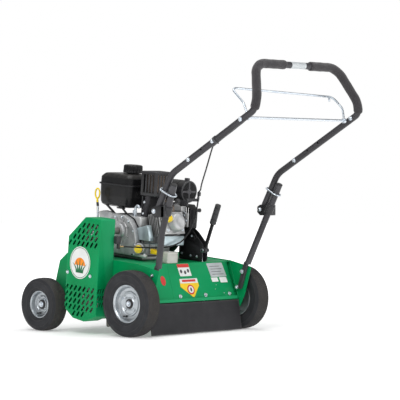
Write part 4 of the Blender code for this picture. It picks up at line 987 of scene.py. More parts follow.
def make_upper_handle():
    """The bent upper tube with its cross rod, screws, cable clip and fold bolts."""
    piece("upper_tube", "charcoal", sweep(upper_route(), TUBE_R, 40), "handle", LEVEL,
          stands_for="upper_handle")
    piece("bail_rod", "zinc", bar((-0.295, *BAIL_YZ), (0.295, *BAIL_YZ), 0.005), "handle", LEVEL)
    low, high = Vector((0.304, -0.1895, 0.631)), Vector((0.3015, -0.609, 0.864))
    screws, hole_shades = [], []
    for side, shares, outward in ((-1, (0.232, 0.525, 0.86), -1), (1, (0.235, 0.926), -1)):
        for share in shares:
            spot = low.lerp(high, share)
            screws += bolt((side * spot.x + outward * 0.0122, spot.y, spot.z), (outward, 0, 0), 0.0056)
    # Painted shade: near-black discs on the tube stand for the shade inside its empty screw holes.
    for side, shares in ((-1, (0.39,)), (1, (0.4, 0.53))):
        for share in shares:
            spot = low.lerp(high, share)
            x = side * spot.x
            hole_shades.append(lathe([(0, 0.0038), (0.0008, 0.0036), (0.0008, 0)], (x - 0.0124, spot.y, spot.z),
                               (-1, 0, 0), 24))
    piece("tube_screws", "zinc", screws, "handle", LEVEL)
    piece("tube_hole_shades", "dark", hole_shades, "handle", LEVEL)
    clip = [lathe([(-0.0055, 0.012), (-0.0055, 0.0148), (0.0055, 0.0148), (0.0055, 0.012)],
                  (-0.303, -0.418, 0.758), low - high, 40, closed=True),
            box((-0.2935, -0.419, 0.743), (-0.2862, -0.401, 0.759), 0.0015)]
    piece("cable_clip", "plastic", clip, "handle", LEVEL)
    fitting = lathe([(0, 0.0022), (0.002, 0.004), (0.012, 0.004), (0.013, 0.003), (0.02, 0.003)],
                    (-0.2605, -0.53, 0.862), (0.0, 0.15, 1), 24)
    piece("cable_fitting", "brass", fitting, "handle", LEVEL)
    sleeve = [(-0.0405 + 0.0815 * k / 12, -0.5545, 1.0405) for k in range(13)]
    piece("grip_sticker", "label_silver", sweep(sleeve, 0.013, 40), "handle", LEVEL)
    metal = []
    for side in (-1, 1):
        shapes = [lathe([(-0.013, 0.006), (-0.013, 0.0128), (-0.0124, 0.0135), (0.0124, 0.0135),
                         (0.013, 0.0128), (0.013, 0.006)], (side * 0.303, *FOLD_YZ), (1, 0, 0), 40,
                        closed=True)]
        piece(f"fold_eye_{'left' if side < 0 else 'right'}", "charcoal", shapes, "handle", LEVEL)
        metal += [bar((side * 0.28, *FOLD_YZ), (side * 0.326, *FOLD_YZ), 0.0055)]
        metal += bolt((side * 0.2843, *FOLD_YZ), (-side, 0, 0), 0.006)
        metal += bolt((side * 0.3217, *FOLD_YZ), (side, 0, 0), 0.006, 0.001)
        metal += bolt((side * 0.2905, *BAIL_YZ), (side, 0, 0), 0.0052)
    piece("fold_bolts", "zinc", metal, "handle", LEVEL)


def make_grips():
    """Foam sleeves that follow the tube's bends, padded and pinched in a little along their length."""
    for side, name in ((-1, "left"), (1, "right")):
        half = [point for point in upper_route() if point.z > 0.868 and side * point.x > 0.05]
        half = half if side < 0 else half[::-1]
        route = smooth_route(half + [Vector((side * 0.072, -0.5545, 1.0405))], 0.004)
        count = len(route)
        radii = []
        for i in range(count):
            end = min(i, count - 1 - i) * 0.004
            round_off = 0.0022 * max(0.0, 1 - end / 0.006) ** 2
            radii.append(GRIP_R - 0.0002 - round_off + 0.00025 * sin(i * 0.55) +
                         0.0002 * sin(i * 0.17 + side))
        grip = piece(f"foam_sleeve_{name}", "foam", sweep(route, radii, 48), "handle", LEVEL,
                     f"foam_grip_{name}")


def lock_ring_route(side):
    """A loop round the upper and the lower tube, square to both."""
    low = [Vector((side * 0.286, -0.1205, 0.41)), Vector((side * 0.303, -0.2005, 0.588))]
    high = [Vector(point) for point in upper_corners(side)[:2]]
    normal = ((low[1] - low[0]).normalized() + (high[1] - high[0]).normalized()).normalized()
    centre = Vector((side * 0.302, -0.1665, 0.562))
    ends = []
    for start, end in (high, low):
        along = end - start
        ends.append(start + along * ((centre - start).dot(normal) / along.dot(normal)))
    forward = (ends[0] - ends[1]).normalized()
    across = normal.cross(forward)
    route = []
    for middle, sign in ((ends[0], 1), (ends[1], -1)):
        for k in range(25):
            angle = -pi / 2 + pi * k / 24
            route.append(middle + (forward * cos(angle) + across * sin(angle)) * sign * RING_R)
        other = ends[1] if sign > 0 else ends[0]
        start = route[-1]
        end = other + across * sign * RING_R
        route += [start.lerp(end, k / 12) for k in range(1, 12)]
    return route


def make_lock_rings():
    """Zinc loops of twisted rod that hold the upper tubes against the lower ones."""
    for side, name in ((-1, "left"), (1, "right")):
        route = lock_ring_route(side)
        ring = sweep(route, 0.0031, 20, closed=True, lobes=2, lobe_depth=0.26, turns=12)
        piece(f"twisted_ring_{name}", "zinc", ring, f"ring_{name}", LEVEL, f"lock_ring_{name}", angle=60)


def make_bail():
    """The bent wire bail with its two eyes and a small tab."""
    left = [(-BAIL_X, BAIL_YZ[0], BAIL_YZ[1] + 0.008), (-BAIL_X, -0.535, 0.892), (-0.27, -0.463, 0.951)]
    right = [(0.262, -0.512, 0.93), (BAIL_X, -0.548, 0.885), (BAIL_X, BAIL_YZ[0], BAIL_YZ[1] + 0.008)]
    route = rounded_route(left + right, 0.035)
    piece("bail_wire", "zinc", sweep(route, 0.0042, 24), "bail_bar", LEVEL, "bail")
    eyes = [lathe([(-0.0045, 0.0056), (-0.0045, 0.0096), (-0.004, 0.01), (0.004, 0.01), (0.0045, 0.0096),
                   (0.0045, 0.0056)], (side * BAIL_X, *BAIL_YZ), (1, 0, 0), 40, closed=True)
            for side in (-1, 1)]
    tab = box((0.243, -0.512, 0.912), (0.247, -0.504, 0.933), 0.001)
    piece("bail_eyes", "zinc", eyes + [tab], "bail_bar", LEVEL)


def loft_z(sections, steps=6):
    """Rounded rectangles stacked upwards, each (z, x_low, x_high, y_low, y_high, corner radius)."""
    bm = bmesh.new()
    rings = []
    for z, x_low, x_high, y_low, y_high, radius in sections:
        ring = []
        for x, y, start in ((x_high - radius, y_high - radius, 0), (x_low + radius, y_high - radius, 1),
                            (x_low + radius, y_low + radius, 2), (x_high - radius, y_low + radius, 3)):
            for k in range(steps + 1):
                angle = pi / 2 * (start + k / steps)
                ring.append(bm.verts.new((x + radius * cos(angle), y + radius * sin(angle), z)))
        rings.append(ring)
    count = len(rings[0])
    for first, second in zip(rings, rings[1:]):
        for k in range(count):
            bm.faces.new((first[k], first[(k + 1) % count], second[(k + 1) % count], second[k]))
    bm.faces.new(rings[0][::-1])
    bm.faces.new(rings[-1])
    return bm


# ---- rotor and belt drive ----

def make_rotor():
    """The rotor shaft with end discs and four rods, and the flails with their spacers."""
    shaft = [bar((PULLEY_X - 0.02, *ROTOR_YZ), (0.272, *ROTOR_YZ), 0.0125, sides=40)]
    for x in (-0.24, 0.24):
        shaft.append(bar((x - 0.002, *ROTOR_YZ), (x + 0.002, *ROTOR_YZ), 0.073, sides=64))
        shaft.append(bar((x - 0.008, *ROTOR_YZ), (x + 0.008, *ROTOR_YZ), 0.02, sides=40))
    rods, ends = [], []
    for quarter in range(4):
        angle = radians(45 + 90 * quarter) - PITCH
        yz = polar(ROTOR_YZ, ROD_CIRCLE_R, angle)
        rods.append(bar((-0.246, *yz), (0.246, *yz), 0.005, sides=20))
        ends += [hexagon((side * 0.2422, *yz), (side, 0, 0), 0.0078, 0.0036) for side in (-1, 1)]
    piece("rotor_shaft", "steel", shaft + rods, "rotor_set", stands_for="rotor")
    piece("rod_nuts", "zinc", ends, "rotor_set")
    down = Vector((-sin(PITCH), -cos(PITCH)))
    for quarter in range(4):
        yz = Vector(polar(ROTOR_YZ, ROD_CIRCLE_R, radians(45 + 90 * quarter) - PITCH))
        shift = FLAIL_PITCH / 4 if quarter % 2 else -FLAIL_PITCH / 4
        rows = [(k - FLAILS_PER_ROD // 2) * FLAIL_PITCH + shift for k in range(FLAILS_PER_ROD)]
        tip = yz + down * 0.061
        blades, spacers = [], []
        for x in rows:
            blades.append(prism(link_outline(yz, tip, 0.009, 8), x - 0.003, x + 0.003, 0.0007))
            blades.append(prism(link_outline(yz + down * 0.034, tip, 0.0062, 8), x - 0.0042, x + 0.0042,
                                0.0008))
        stations = [-0.237] + rows + [0.237]
        for low, high in zip(stations, stations[1:]):
            spacers.append(lathe([(0, 0.0061), (0, 0.0084), (high - low - 0.0012, 0.0084),
                                  (high - low - 0.0012, 0.0061)], (low + 0.0006, *yz), (1, 0, 0), 24,
                                 closed=True))
        piece(f"flail_blades_{quarter + 1}", "steel", blades, f"flails_{quarter + 1}",
              stands_for=f"flail_row_{quarter + 1}")
        piece(f"flail_spacers_{quarter + 1}", "zinc", spacers, f"flails_{quarter + 1}")


def pulley(radius, bore, centre):
    """A pressed vee pulley with a hub and a retaining bolt's washer."""
    profile = [(-0.009, bore), (-0.009, bore + 0.007), (-0.003, bore + 0.009), (-0.003, radius - 0.012),
               (-0.009, radius - 0.008), (-0.009, radius), (-0.0075, radius), (-0.003, radius - 0.007),
               (0.003, radius - 0.007), (0.0075, radius), (0.009, radius), (0.009, radius - 0.008),
               (0.003, radius - 0.012), (0.003, bore + 0.009), (0.009, bore + 0.007), (0.009, bore)]
    return lathe(profile, (PULLEY_X, *centre), (1, 0, 0), 72, closed=True)


def make_belt_drive():
    """Two pulleys, the vee belt round them, and the idler that tightens it."""
    piece("crank_pulley", "steel", pulley(0.042, 0.0128, CRANK_YZ), "crank_set", stands_for="drive_pulley")
    piece("rotor_pulley", "steel", pulley(0.05, 0.0128, ROTOR_YZ), "rotor_set", stands_for="driven_pulley")
    apart = Vector(CRANK_YZ) - Vector(ROTOR_YZ)
    line = atan2(apart.y, apart.x)
    lean = 0.008 / apart.length
    outer, inner = [], []
    for centre, radius, middle, reach in ((CRANK_YZ, 0.042, line, pi / 2 - lean),
                                          (ROTOR_YZ, 0.05, line + pi, pi / 2 + lean)):
        for k in range(33):
            angle = middle - reach + 2 * reach * k / 32
            outer.append(polar(centre, radius + 0.0024, angle))
            inner.append(polar(centre, radius - 0.0028, angle))
    bm = bmesh.new()
    rings = [[bm.verts.new((x, y, z)) for y, z in ring]
             for x, ring in ((PULLEY_X - 0.0032, outer), (PULLEY_X + 0.0032, outer),
                             (PULLEY_X + 0.002, inner), (PULLEY_X - 0.002, inner))]
    count = len(outer)
    for first, second in zip(rings, rings[1:] + rings[:1]):
        for k in range(count):
            bm.faces.new((first[k], first[(k + 1) % count], second[(k + 1) % count], second[k]))
    piece("v_belt", "rubber", bm, stands_for="drive_belt")
    pivot, wheel = (0.322, 0.338), (0.315, 0.255)
    arm = prism(link_outline(pivot, wheel, 0.0095), -0.29, -0.286, 0.0006)
    boss = [bar((-0.288, *wheel), (-0.315, *wheel), 0.0045), bar((-0.288, *pivot), (-0.2668, *pivot), 0.007)]
    piece("idler_lever_plate", "black", [arm] + boss, "idler_lever", stands_for="idler_arm")
    piece("idler_bolts", "zinc", bolt((-0.29, *pivot), (-1, 0, 0), 0.005) +
          bolt((-0.3122, *wheel), (-1, 0, 0), 0.004), "idler_lever")
    roller = lathe([(0, 0.0048), (0, 0.009), (-0.0015, 0.01), (-0.0015, 0.015), (0, 0.0165), (0.0005, 0.017),
                    (0.0135, 0.017), (0.014, 0.0165), (0.0155, 0.015), (0.014, 0.009), (0.014, 0.0048)],
                   (-0.312, *wheel), (1, 0, 0), 48, closed=True)
    piece("idler_roller", "steel", roller, "idler_wheel", stands_for="idler_pulley")


# ---- engine ----

COVER_OUTLINE = [(0.31, 0.292), (0.318, 0.345), (0.33, 0.385), (0.314, 0.425), (0.277, 0.447), (0.235, 0.45),
                 (0.195, 0.434), (0.163, 0.395), (0.15, 0.34), (0.15, 0.292)]


def along_cylinder(distance, across, x):
    """A point at a distance from the crank along the sloping cylinder, and across it."""
    return (x, CRANK_YZ[0] - distance * cos(CYLINDER_TILT) + across * sin(CYLINDER_TILT),
            CRANK_YZ[1] + distance * sin(CYLINDER_TILT) + across * cos(CYLINDER_TILT))


def cylinder_block(near, far, half_height, x_low, x_high, radius=0.0):
    """A block along the sloping cylinder, between two distances from the crank."""
    corners = [along_cylinder(near, -half_height, 0), along_cylinder(near, half_height, 0),
               along_cylinder(far, half_height, 0), along_cylinder(far, -half_height, 0)]
    return prism([corner[1:] for corner in corners], x_low, x_high, radius)


def make_crankcase():
    """The engine's body on its feet, its bolted cover, the dipstick tube, the flywheel and the fan."""
    body = [box((CASE_X[0], 0.16, 0.285), (CASE_X[1], 0.33, 0.448), 0.01, 3),
            cylinder_block(0.07, 0.1027, 0.038, -0.09, 0.015, 0.003)]
    body += [box((x, 0.157, 0.3), (x + 0.003, 0.164, 0.37), 0.001) for x in (-0.108, -0.072, -0.036, 0.0)]
    body += [box((x, 0.326, 0.3), (x + 0.003, 0.332, 0.42), 0.001)
             for x in (-0.108, -0.072, -0.036, 0.0, 0.036)]
    body += [box((x, 0.3, 0.44), (x + 0.012, 0.325, 0.4717), 0.002) for x in (-0.1, 0.03)]
    feet = [box((-0.138, 0.132, DECK_TOP_Z + 0.0003), (0.054, 0.35, 0.29), 0.004)]
    hole = bar((-0.2, *CRANK_YZ), (0.2, *CRANK_YZ), CRANK_BORE_R, edge=0)
    piece("engine_block", "alloy", body, cut=[hole], stands_for="crankcase")
    piece("engine_feet", "alloy", feet)
    seats = [(x, y, 0.2898) for y in (0.145, 0.34) for x in (-0.122, 0.04)]
    bolt_set("engine_bolts", seats, (0, 0, 1), 0.0052, 0.003)
    tube = smooth_route([(-0.1225, 0.32, 0.33), (-0.138, 0.36, 0.34), (-0.146, 0.386, 0.37),
                         (-0.146, 0.3895, 0.4066)], 0.006)
    piece("dipstick_tube", "black", sweep(tube, 0.0063, 20))
    cover = [prism(rounded_outline(COVER_OUTLINE, 0.012, 4), COVER_X, CASE_X[0] - 0.001, 0.003, 3),
             lathe([(0, CRANK_BORE_R), (0, 0.042), (0.002, 0.04), (0.0035, 0.031), (0.011, 0.027),
                    (0.0118, 0.0255), (0.0118, CRANK_BORE_R)], (COVER_X, *CRANK_YZ), (-1, 0, 0), 48,
                   closed=True), box((-0.15, 0.14, 0.3), (-0.131, 0.2, 0.345), 0.004),
             bar((-0.134, 0.15, 0.323), (-0.1596, 0.1333, 0.323), 0.0238, 0.0225, edge=0.0015),
             box((COVER_X, 0.1, 0.292), (-0.139, 0.175, 0.304), 0.0025)]
    for angle in range(8):
        spot = Vector(polar(CRANK_YZ, 0.055, radians(22.5 + 45 * angle)))
        cover.append(prism(link_outline(polar(CRANK_YZ, 0.034, radians(22.5 + 45 * angle)), spot, 0.0018, 4),
                           -0.1622, -0.159, 0.0006))
    piece("case_cover", "alloy", cover, stands_for="crankcase_cover")
    # A thin gasket rim at the cover's joint in the near-black painted-shade colour: partly a gasket, partly
    # painted shade for the gap between cover and crankcase.
    piece("case_gasket_shade", "dark", prism(inset(COVER_OUTLINE, -0.0032), -0.1311, -0.1301))
    hump = rounded_outline([(0.325, 0.4), (0.398, 0.416), (0.412, 0.446), (0.385, 0.453), (0.34, 0.449),
                            (0.325, 0.44)], 0.006, 4)
    piece("case_hump", "alloy", prism(hump, -0.125, -0.095, 0.003))
    struts = [prism(link_outline((0.386, 0.478), (0.34, 0.45), 0.0045), -0.1085, -0.105, 0.0005),
              prism(link_outline((0.302, 0.478), (0.262, 0.448), 0.004), -0.1085, -0.105, 0.0005)]
    piece("tank_struts", "black", struts)
    screws = []
    for spot in inset(COVER_OUTLINE, 0.0085):
        screws += bolt((-0.1598, *spot), (-1, 0, 0), 0.0036)
    for y in (0.108, 0.166):
        screws += bolt((-0.15, y, 0.3038), (0, 0, 1), 0.0036)
    piece("cover_screws", "zinc", screws)
    wheel = lathe([(0.06, 0.0128), (0.06, 0.086), (0.062, 0.088), (0.076, 0.088), (0.076, 0.07),
                   (0.072, 0.068), (0.072, 0.03), (0.086, 0.028), (0.086, 0.0128)], (0, *CRANK_YZ),
                  (1, 0, 0), 72)
    fan = []
    for k in range(20):
        blade = prism([(0.048, -0.0012), (0.048, 0.0012), (0.086, 0.006), (0.086, 0.0036)], 0.074, 0.0895)
        turn = Matrix.Translation((0, *CRANK_YZ)) @ Matrix.Rotation(2 * pi * k / 20, 4, "X")
        bmesh.ops.transform(blade, matrix=turn, verts=blade.verts)
        fan.append(blade)
    shaft = bar((PULLEY_X - 0.02, *CRANK_YZ), (0.094, *CRANK_YZ), 0.0125, sides=40)
    piece("flywheel_and_shaft", "steel", [shaft, wheel] + fan, "crank_set", stands_for="crankshaft")
    nut = hexagon((PULLEY_X - 0.0092, *CRANK_YZ), (-1, 0, 0), 0.018, 0.006)
    piece("crank_nut", "zinc", nut, "crank_set")


def make_cylinder():
    """The finned cylinder, its head, the valve cover, the spark plug's boot and its lead."""
    core = cylinder_block(0.103, 0.16, 0.034, -0.085, 0.01, 0.004)
    fins = [cylinder_block(0.108 + 0.0085 * k, 0.11 + 0.0085 * k, 0.0455, -0.0975, 0.0215, 0.0007)
            for k in range(6)]
    piece("cylinder_fins", "alloy", [core] + fins, stands_for="cylinder")
    head = [cylinder_block(0.1603, 0.168, 0.044, -0.096, 0.02, 0.002),
            cylinder_block(0.168, 0.188, 0.036, -0.088, 0.012, 0.003)]
    head += [cylinder_block(0.1605 + 0.007 * k, 0.1625 + 0.007 * k, 0.044, -0.096, 0.02, 0.0007)
             for k in range(1, 4)]
    cover = lathe([(0, 0.04), (0.004, 0.04), (0.006, 0.0385), (0.03, 0.035), (0.036, 0.032), (0.039, 0.027),
                   (0.0395, 0.02), (0.038, 0.017), (0.038, 0)], along_cylinder(0.18, 0, -0.036),
                  Vector(along_cylinder(1, 0, 0)) - Vector(along_cylinder(0, 0, 0)), 56)
    neck = bar((-0.087, 0.07, 0.44), (-0.0965, 0.0395, 0.4495), 0.0068)
    plug = bar(along_cylinder(0.174, 0.04, -0.06), along_cylinder(0.174, 0.06, -0.06), 0.006)
    piece("head_casting", "alloy", head + [cover, neck, plug], stands_for="cylinder_head")
    axis = Vector(along_cylinder(1, 0, 0)) - Vector(along_cylinder(0, 0, 0))
    seats = [along_cylinder(0.1878, across, x) for across in (0.0285, -0.0285) for x in (-0.077, 0.005)]
    bolt_set("head_bolts", seats, axis, 0.0042)
    elbow = smooth_route([along_cylinder(0.174, 0.0612, -0.06), along_cylinder(0.174, 0.066, -0.06),
                          along_cylinder(0.172, 0.076, -0.064), along_cylinder(0.16, 0.082, -0.078)], 0.004)
    radii = [0.0103 + 0.0008 * cos(k * 1.3) - (0.003 if k > len(elbow) - 3 else 0)
             for k in range(len(elbow))]
    piece("plug_boot", "rubber", sweep(elbow, radii, 28), stands_for="spark_plug_boot")
    lead = smooth_route([along_cylinder(0.16, 0.08, -0.078), along_cylinder(0.14, 0.078, -0.07),
                         along_cylinder(0.118, 0.072, -0.02), along_cylinder(0.1, 0.066, 0.03),
                         (0.054, 0.17, 0.46)], 0.006)
    piece("plug_lead", "rubber", sweep(lead, 0.0034, 16))


def make_starter():
    """The fan shroud and the recoil starter, with the rope that follows its handle."""
    arc = [polar(CRANK_YZ, 0.103, radians(-160 + 6.25 * k)) for k in range(37)]
    outline = arc + [(0.22, 0.503), (0.085, 0.503), (0.066, 0.485), (0.066, 0.41)]
    shell = prism(outline, 0.0558, 0.0978, 0.003, 3)
    hollow = prism(inset(outline, 0.0025), 0.04, 0.0953)
    vents = [prism(link_outline(polar(CRANK_YZ, 0.08, radians(a)), polar(CRANK_YZ, 0.094, radians(a)),
                                0.0022, 4), 0.09, 0.11) for a in range(-150, 150, 12)]
    vents += [prism(link_outline((0.082 + 0.012 * k, 0.455), (0.082 + 0.012 * k, 0.486), 0.0022, 4), 0.09,
                    0.11) for k in range(6)]
    opening = bar((0.09, *CRANK_YZ), (0.11, *CRANK_YZ), 0.055, sides=64, edge=0)
    piece("fan_shroud", "gloss_black", shell, cut=[hollow, [opening], vents], stands_for="blower_housing",
          angle=30)
    seats = [(0.0976, *polar(CRANK_YZ, 0.0985, radians(angle))) for angle in (-120, -60, 0, 60, 120)]
    bolt_set("shroud_screws", seats, (1, 0, 0), 0.0034)
    dome = lathe([(0, 0.07), (0, 0.075), (0.002, 0.076), (0.044, 0.0745), (0.052, 0.0735), (0.058, 0.069),
                  (0.0637, 0.06), (0.0637, 0.03), (0.06, 0.028), (0.06, 0.014), (0.057, 0.014),
                  (0.0575, 0.056), (0.049, 0.07)], (0.0983, *CRANK_YZ), (1, 0, 0), 96, closed=True)
    slots = [prism(link_outline(polar(CRANK_YZ, 0.036, radians(a)), polar(CRANK_YZ, 0.055, radians(a)),
                                0.0028, 4), 0.14, 0.18) for a in range(0, 360, 24)]
    nose = bar((0.144, 0.184, 0.41), (0.144, 0.164, 0.43), 0.009)
    piece("recoil_cover", "gloss_black", [dome], cut=[slots], stands_for="recoil_starter", angle=30)
    bore = bar((0.144, 0.2, 0.394), (0.144, 0.15, 0.444), 0.004, edge=0)
    piece("rope_guide", "plastic", nose, cut=[bore])
    hub = lathe([(0.156, 0.0), (0.156, 0.012), (0.159, 0.0118), (0.1595, 0.0)], (0, *CRANK_YZ), (1, 0, 0),
                40)
    piece("starter_hub", "zinc", hub)
    rope = sweep([(0.144, 0.178 - 0.0525 * k / 16, 0.416 + 0.0525 * k / 16) for k in range(17)], 0.0019, 12)
    strand = piece("pull_rope", "rubber", rope, None, stands_for="starter_rope")
    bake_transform(strand)
    grip = lathe([(0, 0.0), (0, 0.0072), (0.001, 0.0084), (0.01, 0.0074), (0.017, 0.007), (0.024, 0.0074),
                  (0.033, 0.0084), (0.034, 0.0072), (0.034, 0.0)], (0.131, 0.1185, 0.4755), (1, 0, 0), 40)
    piece("pull_grip", "plastic", grip, "starter_handle", stands_for="starter_grip")


def make_fuel_tank():
    """The two-shell fuel tank with its neck, ribbed cap and feet."""
    low_x, high_x, low_y, high_y = -0.12, 0.052, 0.245, 0.428
    sections = []
    for z, move, corner in ((0.472, 0.03, 0.01), (0.4735, 0.018, 0.016), (0.48, 0.008, 0.022),
                            (0.49, 0.003, 0.026), (0.52, 0.001, 0.028), (0.5598, 0.0, 0.028),
                            (0.56, -0.0058, 0.032), (0.5658, -0.0058, 0.032), (0.566, 0.0, 0.028),
                            (0.59, 0.001, 0.028), (0.593, 0.003, 0.026), (0.603, 0.013, 0.02),
                            (0.6055, 0.018, 0.016), (0.607, 0.03, 0.01)):
        sections.append((z, low_x + move, high_x - move, low_y + move, high_y - move, corner))
    piece("tank_shell", "gloss_black", loft_z(sections, 8), stands_for="fuel_tank", angle=28)
    neck = lathe([(0, 0.026), (0.007, 0.026), (0.0075, 0.024)], (-0.022, 0.33, 0.6025), (0, 0, 1), 48)
    piece("tank_neck", "plastic", neck)
    cap = lathe([(0, 0.037), (0.001, 0.0398), (0.008, 0.0398), (0.0085, 0.0392), (0.027, 0.0384),
                 (0.03, 0.037), (0.0318, 0.0335), (0.0324, 0.03), (0.0312, 0.026), (0.0312, 0.0)],
                (-0.022, 0.33, 0.6105), (0, 0, 1), 144, ribs=24, rib_depth=0.0011)
    piece("tank_cap_body", "gloss_black", cap, "tank_cap", stands_for="fuel_cap", angle=40)
    rib = [box((-0.046, 0.327, 0.641), (0.002, 0.333, 0.6428), 0.0008)]
    piece("cap_rib", "plastic", rib, "tank_cap")
    straps = [box((x, 0.296, 0.466), (x + 0.018, 0.33, 0.472), 0.0015) for x in (-0.103, 0.027)]
    piece("tank_feet", "black", straps)


def make_exhaust():
    """The muffler in its slotted guard, with the pipe, the stays and a baffle."""
    cage = box((-0.1, 0.12, 0.53), (0.005, 0.205, 0.63), 0.006, 3)
    hollow = box((-0.0972, 0.1228, 0.52), (0.0022, 0.2022, 0.6272), 0.004)
    left = [box((-0.11, 0.128 + 0.0165 * k, 0.545), (-0.09, 0.137 + 0.0165 * k, 0.618), 0.002)
            for k in range(4)]
    rear = [box((-0.088 + 0.0165 * k, 0.11, 0.545), (-0.079 + 0.0165 * k, 0.13, 0.618), 0.002)
            for k in range(5)]
    over = [box((-0.088 + 0.0165 * k, 0.13, 0.62), (-0.079 + 0.0165 * k, 0.195, 0.64), 0.002)
            for k in range(5)]
    piece("muffler_cage", "black", cage, cut=[hollow, left, rear, over], stands_for="muffler_guard",
          angle=30)
    sections = []
    for z, move, corner in ((0.545, 0.006, 0.008), (0.548, 0.001, 0.012), (0.578, 0.0, 0.012),
                            (0.5782, -0.0018, 0.013), (0.5812, -0.0018, 0.013), (0.5814, 0.0, 0.012),
                            (0.612, 0.001, 0.012), (0.6148, 0.007, 0.008)):
        sections.append((z, -0.085 + move, -0.008 - move, 0.132 + move, 0.195 - move, corner))
    pipe = smooth_route([along_cylinder(0.172, 0.0452, -0.025), along_cylinder(0.172, 0.054, -0.025),
                         along_cylinder(0.171, 0.067, -0.025), (-0.025, 0.142, 0.518),
                         (-0.025, 0.156, 0.56)], 0.005)
    piece("muffler_can", "exhaust", [loft_z(sections), sweep(pipe, 0.0098, 28)], stands_for="muffler")
    rods = [bar((x, y, 0.45), (x, y, 0.53), 0.0028) for x, y in ((-0.092, 0.195), (-0.002, 0.195))]
    piece("muffler_stays", "black", rods)
    baffle = rounded_outline([(0.146, 0.448), (0.204, 0.448), (0.204, 0.529), (0.126, 0.529),
                              (0.126, 0.476)], 0.008, 4)
    piece("exhaust_baffle", "black", prism(baffle, -0.063, -0.0612, 0.0005))


def make_intake():
    """The round air cleaner, the carburettor and its links, the breather and the brackets."""
    can = lathe([(0, 0.038), (0, 0.0435), (0.002, 0.045), (0.034, 0.045), (0.0345, 0.044), (0.037, 0.044),
                 (0.0375, 0.045), (0.112, 0.0445), (0.115, 0.042), (0.115, 0.0), (0.012, 0.0),
                 (0.012, 0.038)], FILTER_START, (0, 1, 0), 64)
    piece("filter_can", "gloss_black", can, stands_for="air_cleaner")
    lip = lathe([(0, 0.0385), (0, 0.044), (0.002, 0.0448), (0.006, 0.0448), (0.006, 0.0385)],
                (0.075, 0.099, 0.553), (0, 1, 0), 64, closed=True)
    piece("filter_lip", "plastic", lip)
    # Painted shade: the inside of the cleaner's mouth is near-black to stand for the shade within it.
    inside = lathe([(0.0022, 0.0374), (0.0022, 0.0379), (0.0119, 0.0379), (0.0119, 0.0), (0.0113, 0.0),
                    (0.0113, 0.0374)], FILTER_START, (0, 1, 0), 64)
    piece("filter_mouth_shade", "dark", inside)
    web = [box((0.0375, 0.099, 0.549), (0.1125, 0.109, 0.557), 0.001),
           box((0.071, 0.099, 0.5155), (0.079, 0.109, 0.5905), 0.001),
           lathe([(0, 0.0), (0, 0.011), (0.007, 0.013), (0.007, 0.0)], (0.075, 0.098, 0.553), (0, 1, 0),
                 32), box((0.069, 0.105, 0.59), (0.081, 0.125, 0.6075), 0.002)]
    piece("filter_web", "charcoal", web)
    sections = [(z, 0.026 + m, 0.0545 - m, 0.09 + m, 0.145 - m, 0.004)
                for z, m in ((0.445, 0.003), (0.4475, 0.0), (0.47, 0.0), (0.4705, 0.0025), (0.476, 0.0025),
                             (0.4765, 0.0), (0.496, 0.0), (0.4978, 0.002))]
    bowl = lathe([(0, 0.006), (0.001, 0.0105), (0.014, 0.0128), (0.016, 0.0132), (0.018, 0.0132)],
                 (0.0405, 0.117, 0.43), (0, 0, 1), 40)
    throat = bar((0.042, 0.13, 0.49), (0.042, 0.13, 0.5095), 0.0108)
    plate = box((0.04, 0.064, 0.415), (0.045, 0.095, 0.47), 0.0008)
    piece("carburettor_body", "alloy", [loft_z(sections, 4), bowl, throat, plate], stands_for="carburettor")
    links = [sweep(smooth_route([(0.0425, 0.07, 0.462), (0.038, 0.09, 0.476), (0.03, 0.13, 0.48),
                                 (0.02, 0.17, 0.47)], 0.006), 0.0012, 8),
             sweep(smooth_route([(0.0425, 0.072, 0.425), (0.035, 0.09, 0.435), (0.025, 0.13, 0.45),
                                 (0.02, 0.172, 0.46)], 0.006), 0.001, 8)]
    piece("governor_links", "zinc", links)
    piece("plate_screws", "zinc", bolt((0.04, 0.072, 0.44), (-1, 0, 0), 0.0035) +
          bolt((0.04, 0.085, 0.46), (-1, 0, 0), 0.003))
    hose = smooth_route([(-0.09, 0.166, 0.527), (-0.093, 0.164, 0.512), (-0.095, 0.168, 0.49),
                         (-0.093, 0.174, 0.465), (-0.09, 0.18, 0.442)], 0.004)
    piece("breather_hose", "rubber", sweep(hose, [0.012 + 0.0006 * (k % 2) for k in range(len(hose))], 28))
    bolt_set("hose_bolts", [(-0.102, 0.176, 0.46), (-0.102, 0.172, 0.506)], (-1, 0, 0), 0.0042)
    hook = smooth_route([(-0.118, 0.208, 0.445), (-0.12, 0.205, 0.47), (-0.12, 0.2, 0.486),
                         (-0.118, 0.19, 0.489), (-0.116, 0.185, 0.48)], 0.004)
    piece("lifting_hook", "zinc", [sweep(hook, 0.0052, 16),
                                   box((-0.1215, 0.196, 0.448), (-0.1165, 0.218, 0.47), 0.002)])
    bracket = [box((0.02, 0.056, 0.518), (0.09, 0.06, 0.53), 0.001),
               box((0.082, 0.05, 0.54), (0.092, 0.062, 0.556), 0.0015),
               box((0.084, 0.056, 0.52), (0.09, 0.06, 0.548), 0.001),
               box((0.024, 0.057, 0.498), (0.03, 0.1, 0.522), 0.001)]
    piece("cable_bracket", "black", bracket)
    knob = lathe([(0, 0.0), (0, 0.0095), (0.004, 0.0105), (0.012, 0.01), (0.015, 0.008), (0.0155, 0.0)],
                 (-0.028, 0.068, 0.518), (0, -1, 0.25), 48, ribs=12, rib_depth=0.0007)
    stem = bar((-0.028, 0.068, 0.518), (-0.028, 0.095, 0.499), 0.004)
    piece("throttle_knob", "plastic", [knob, stem])


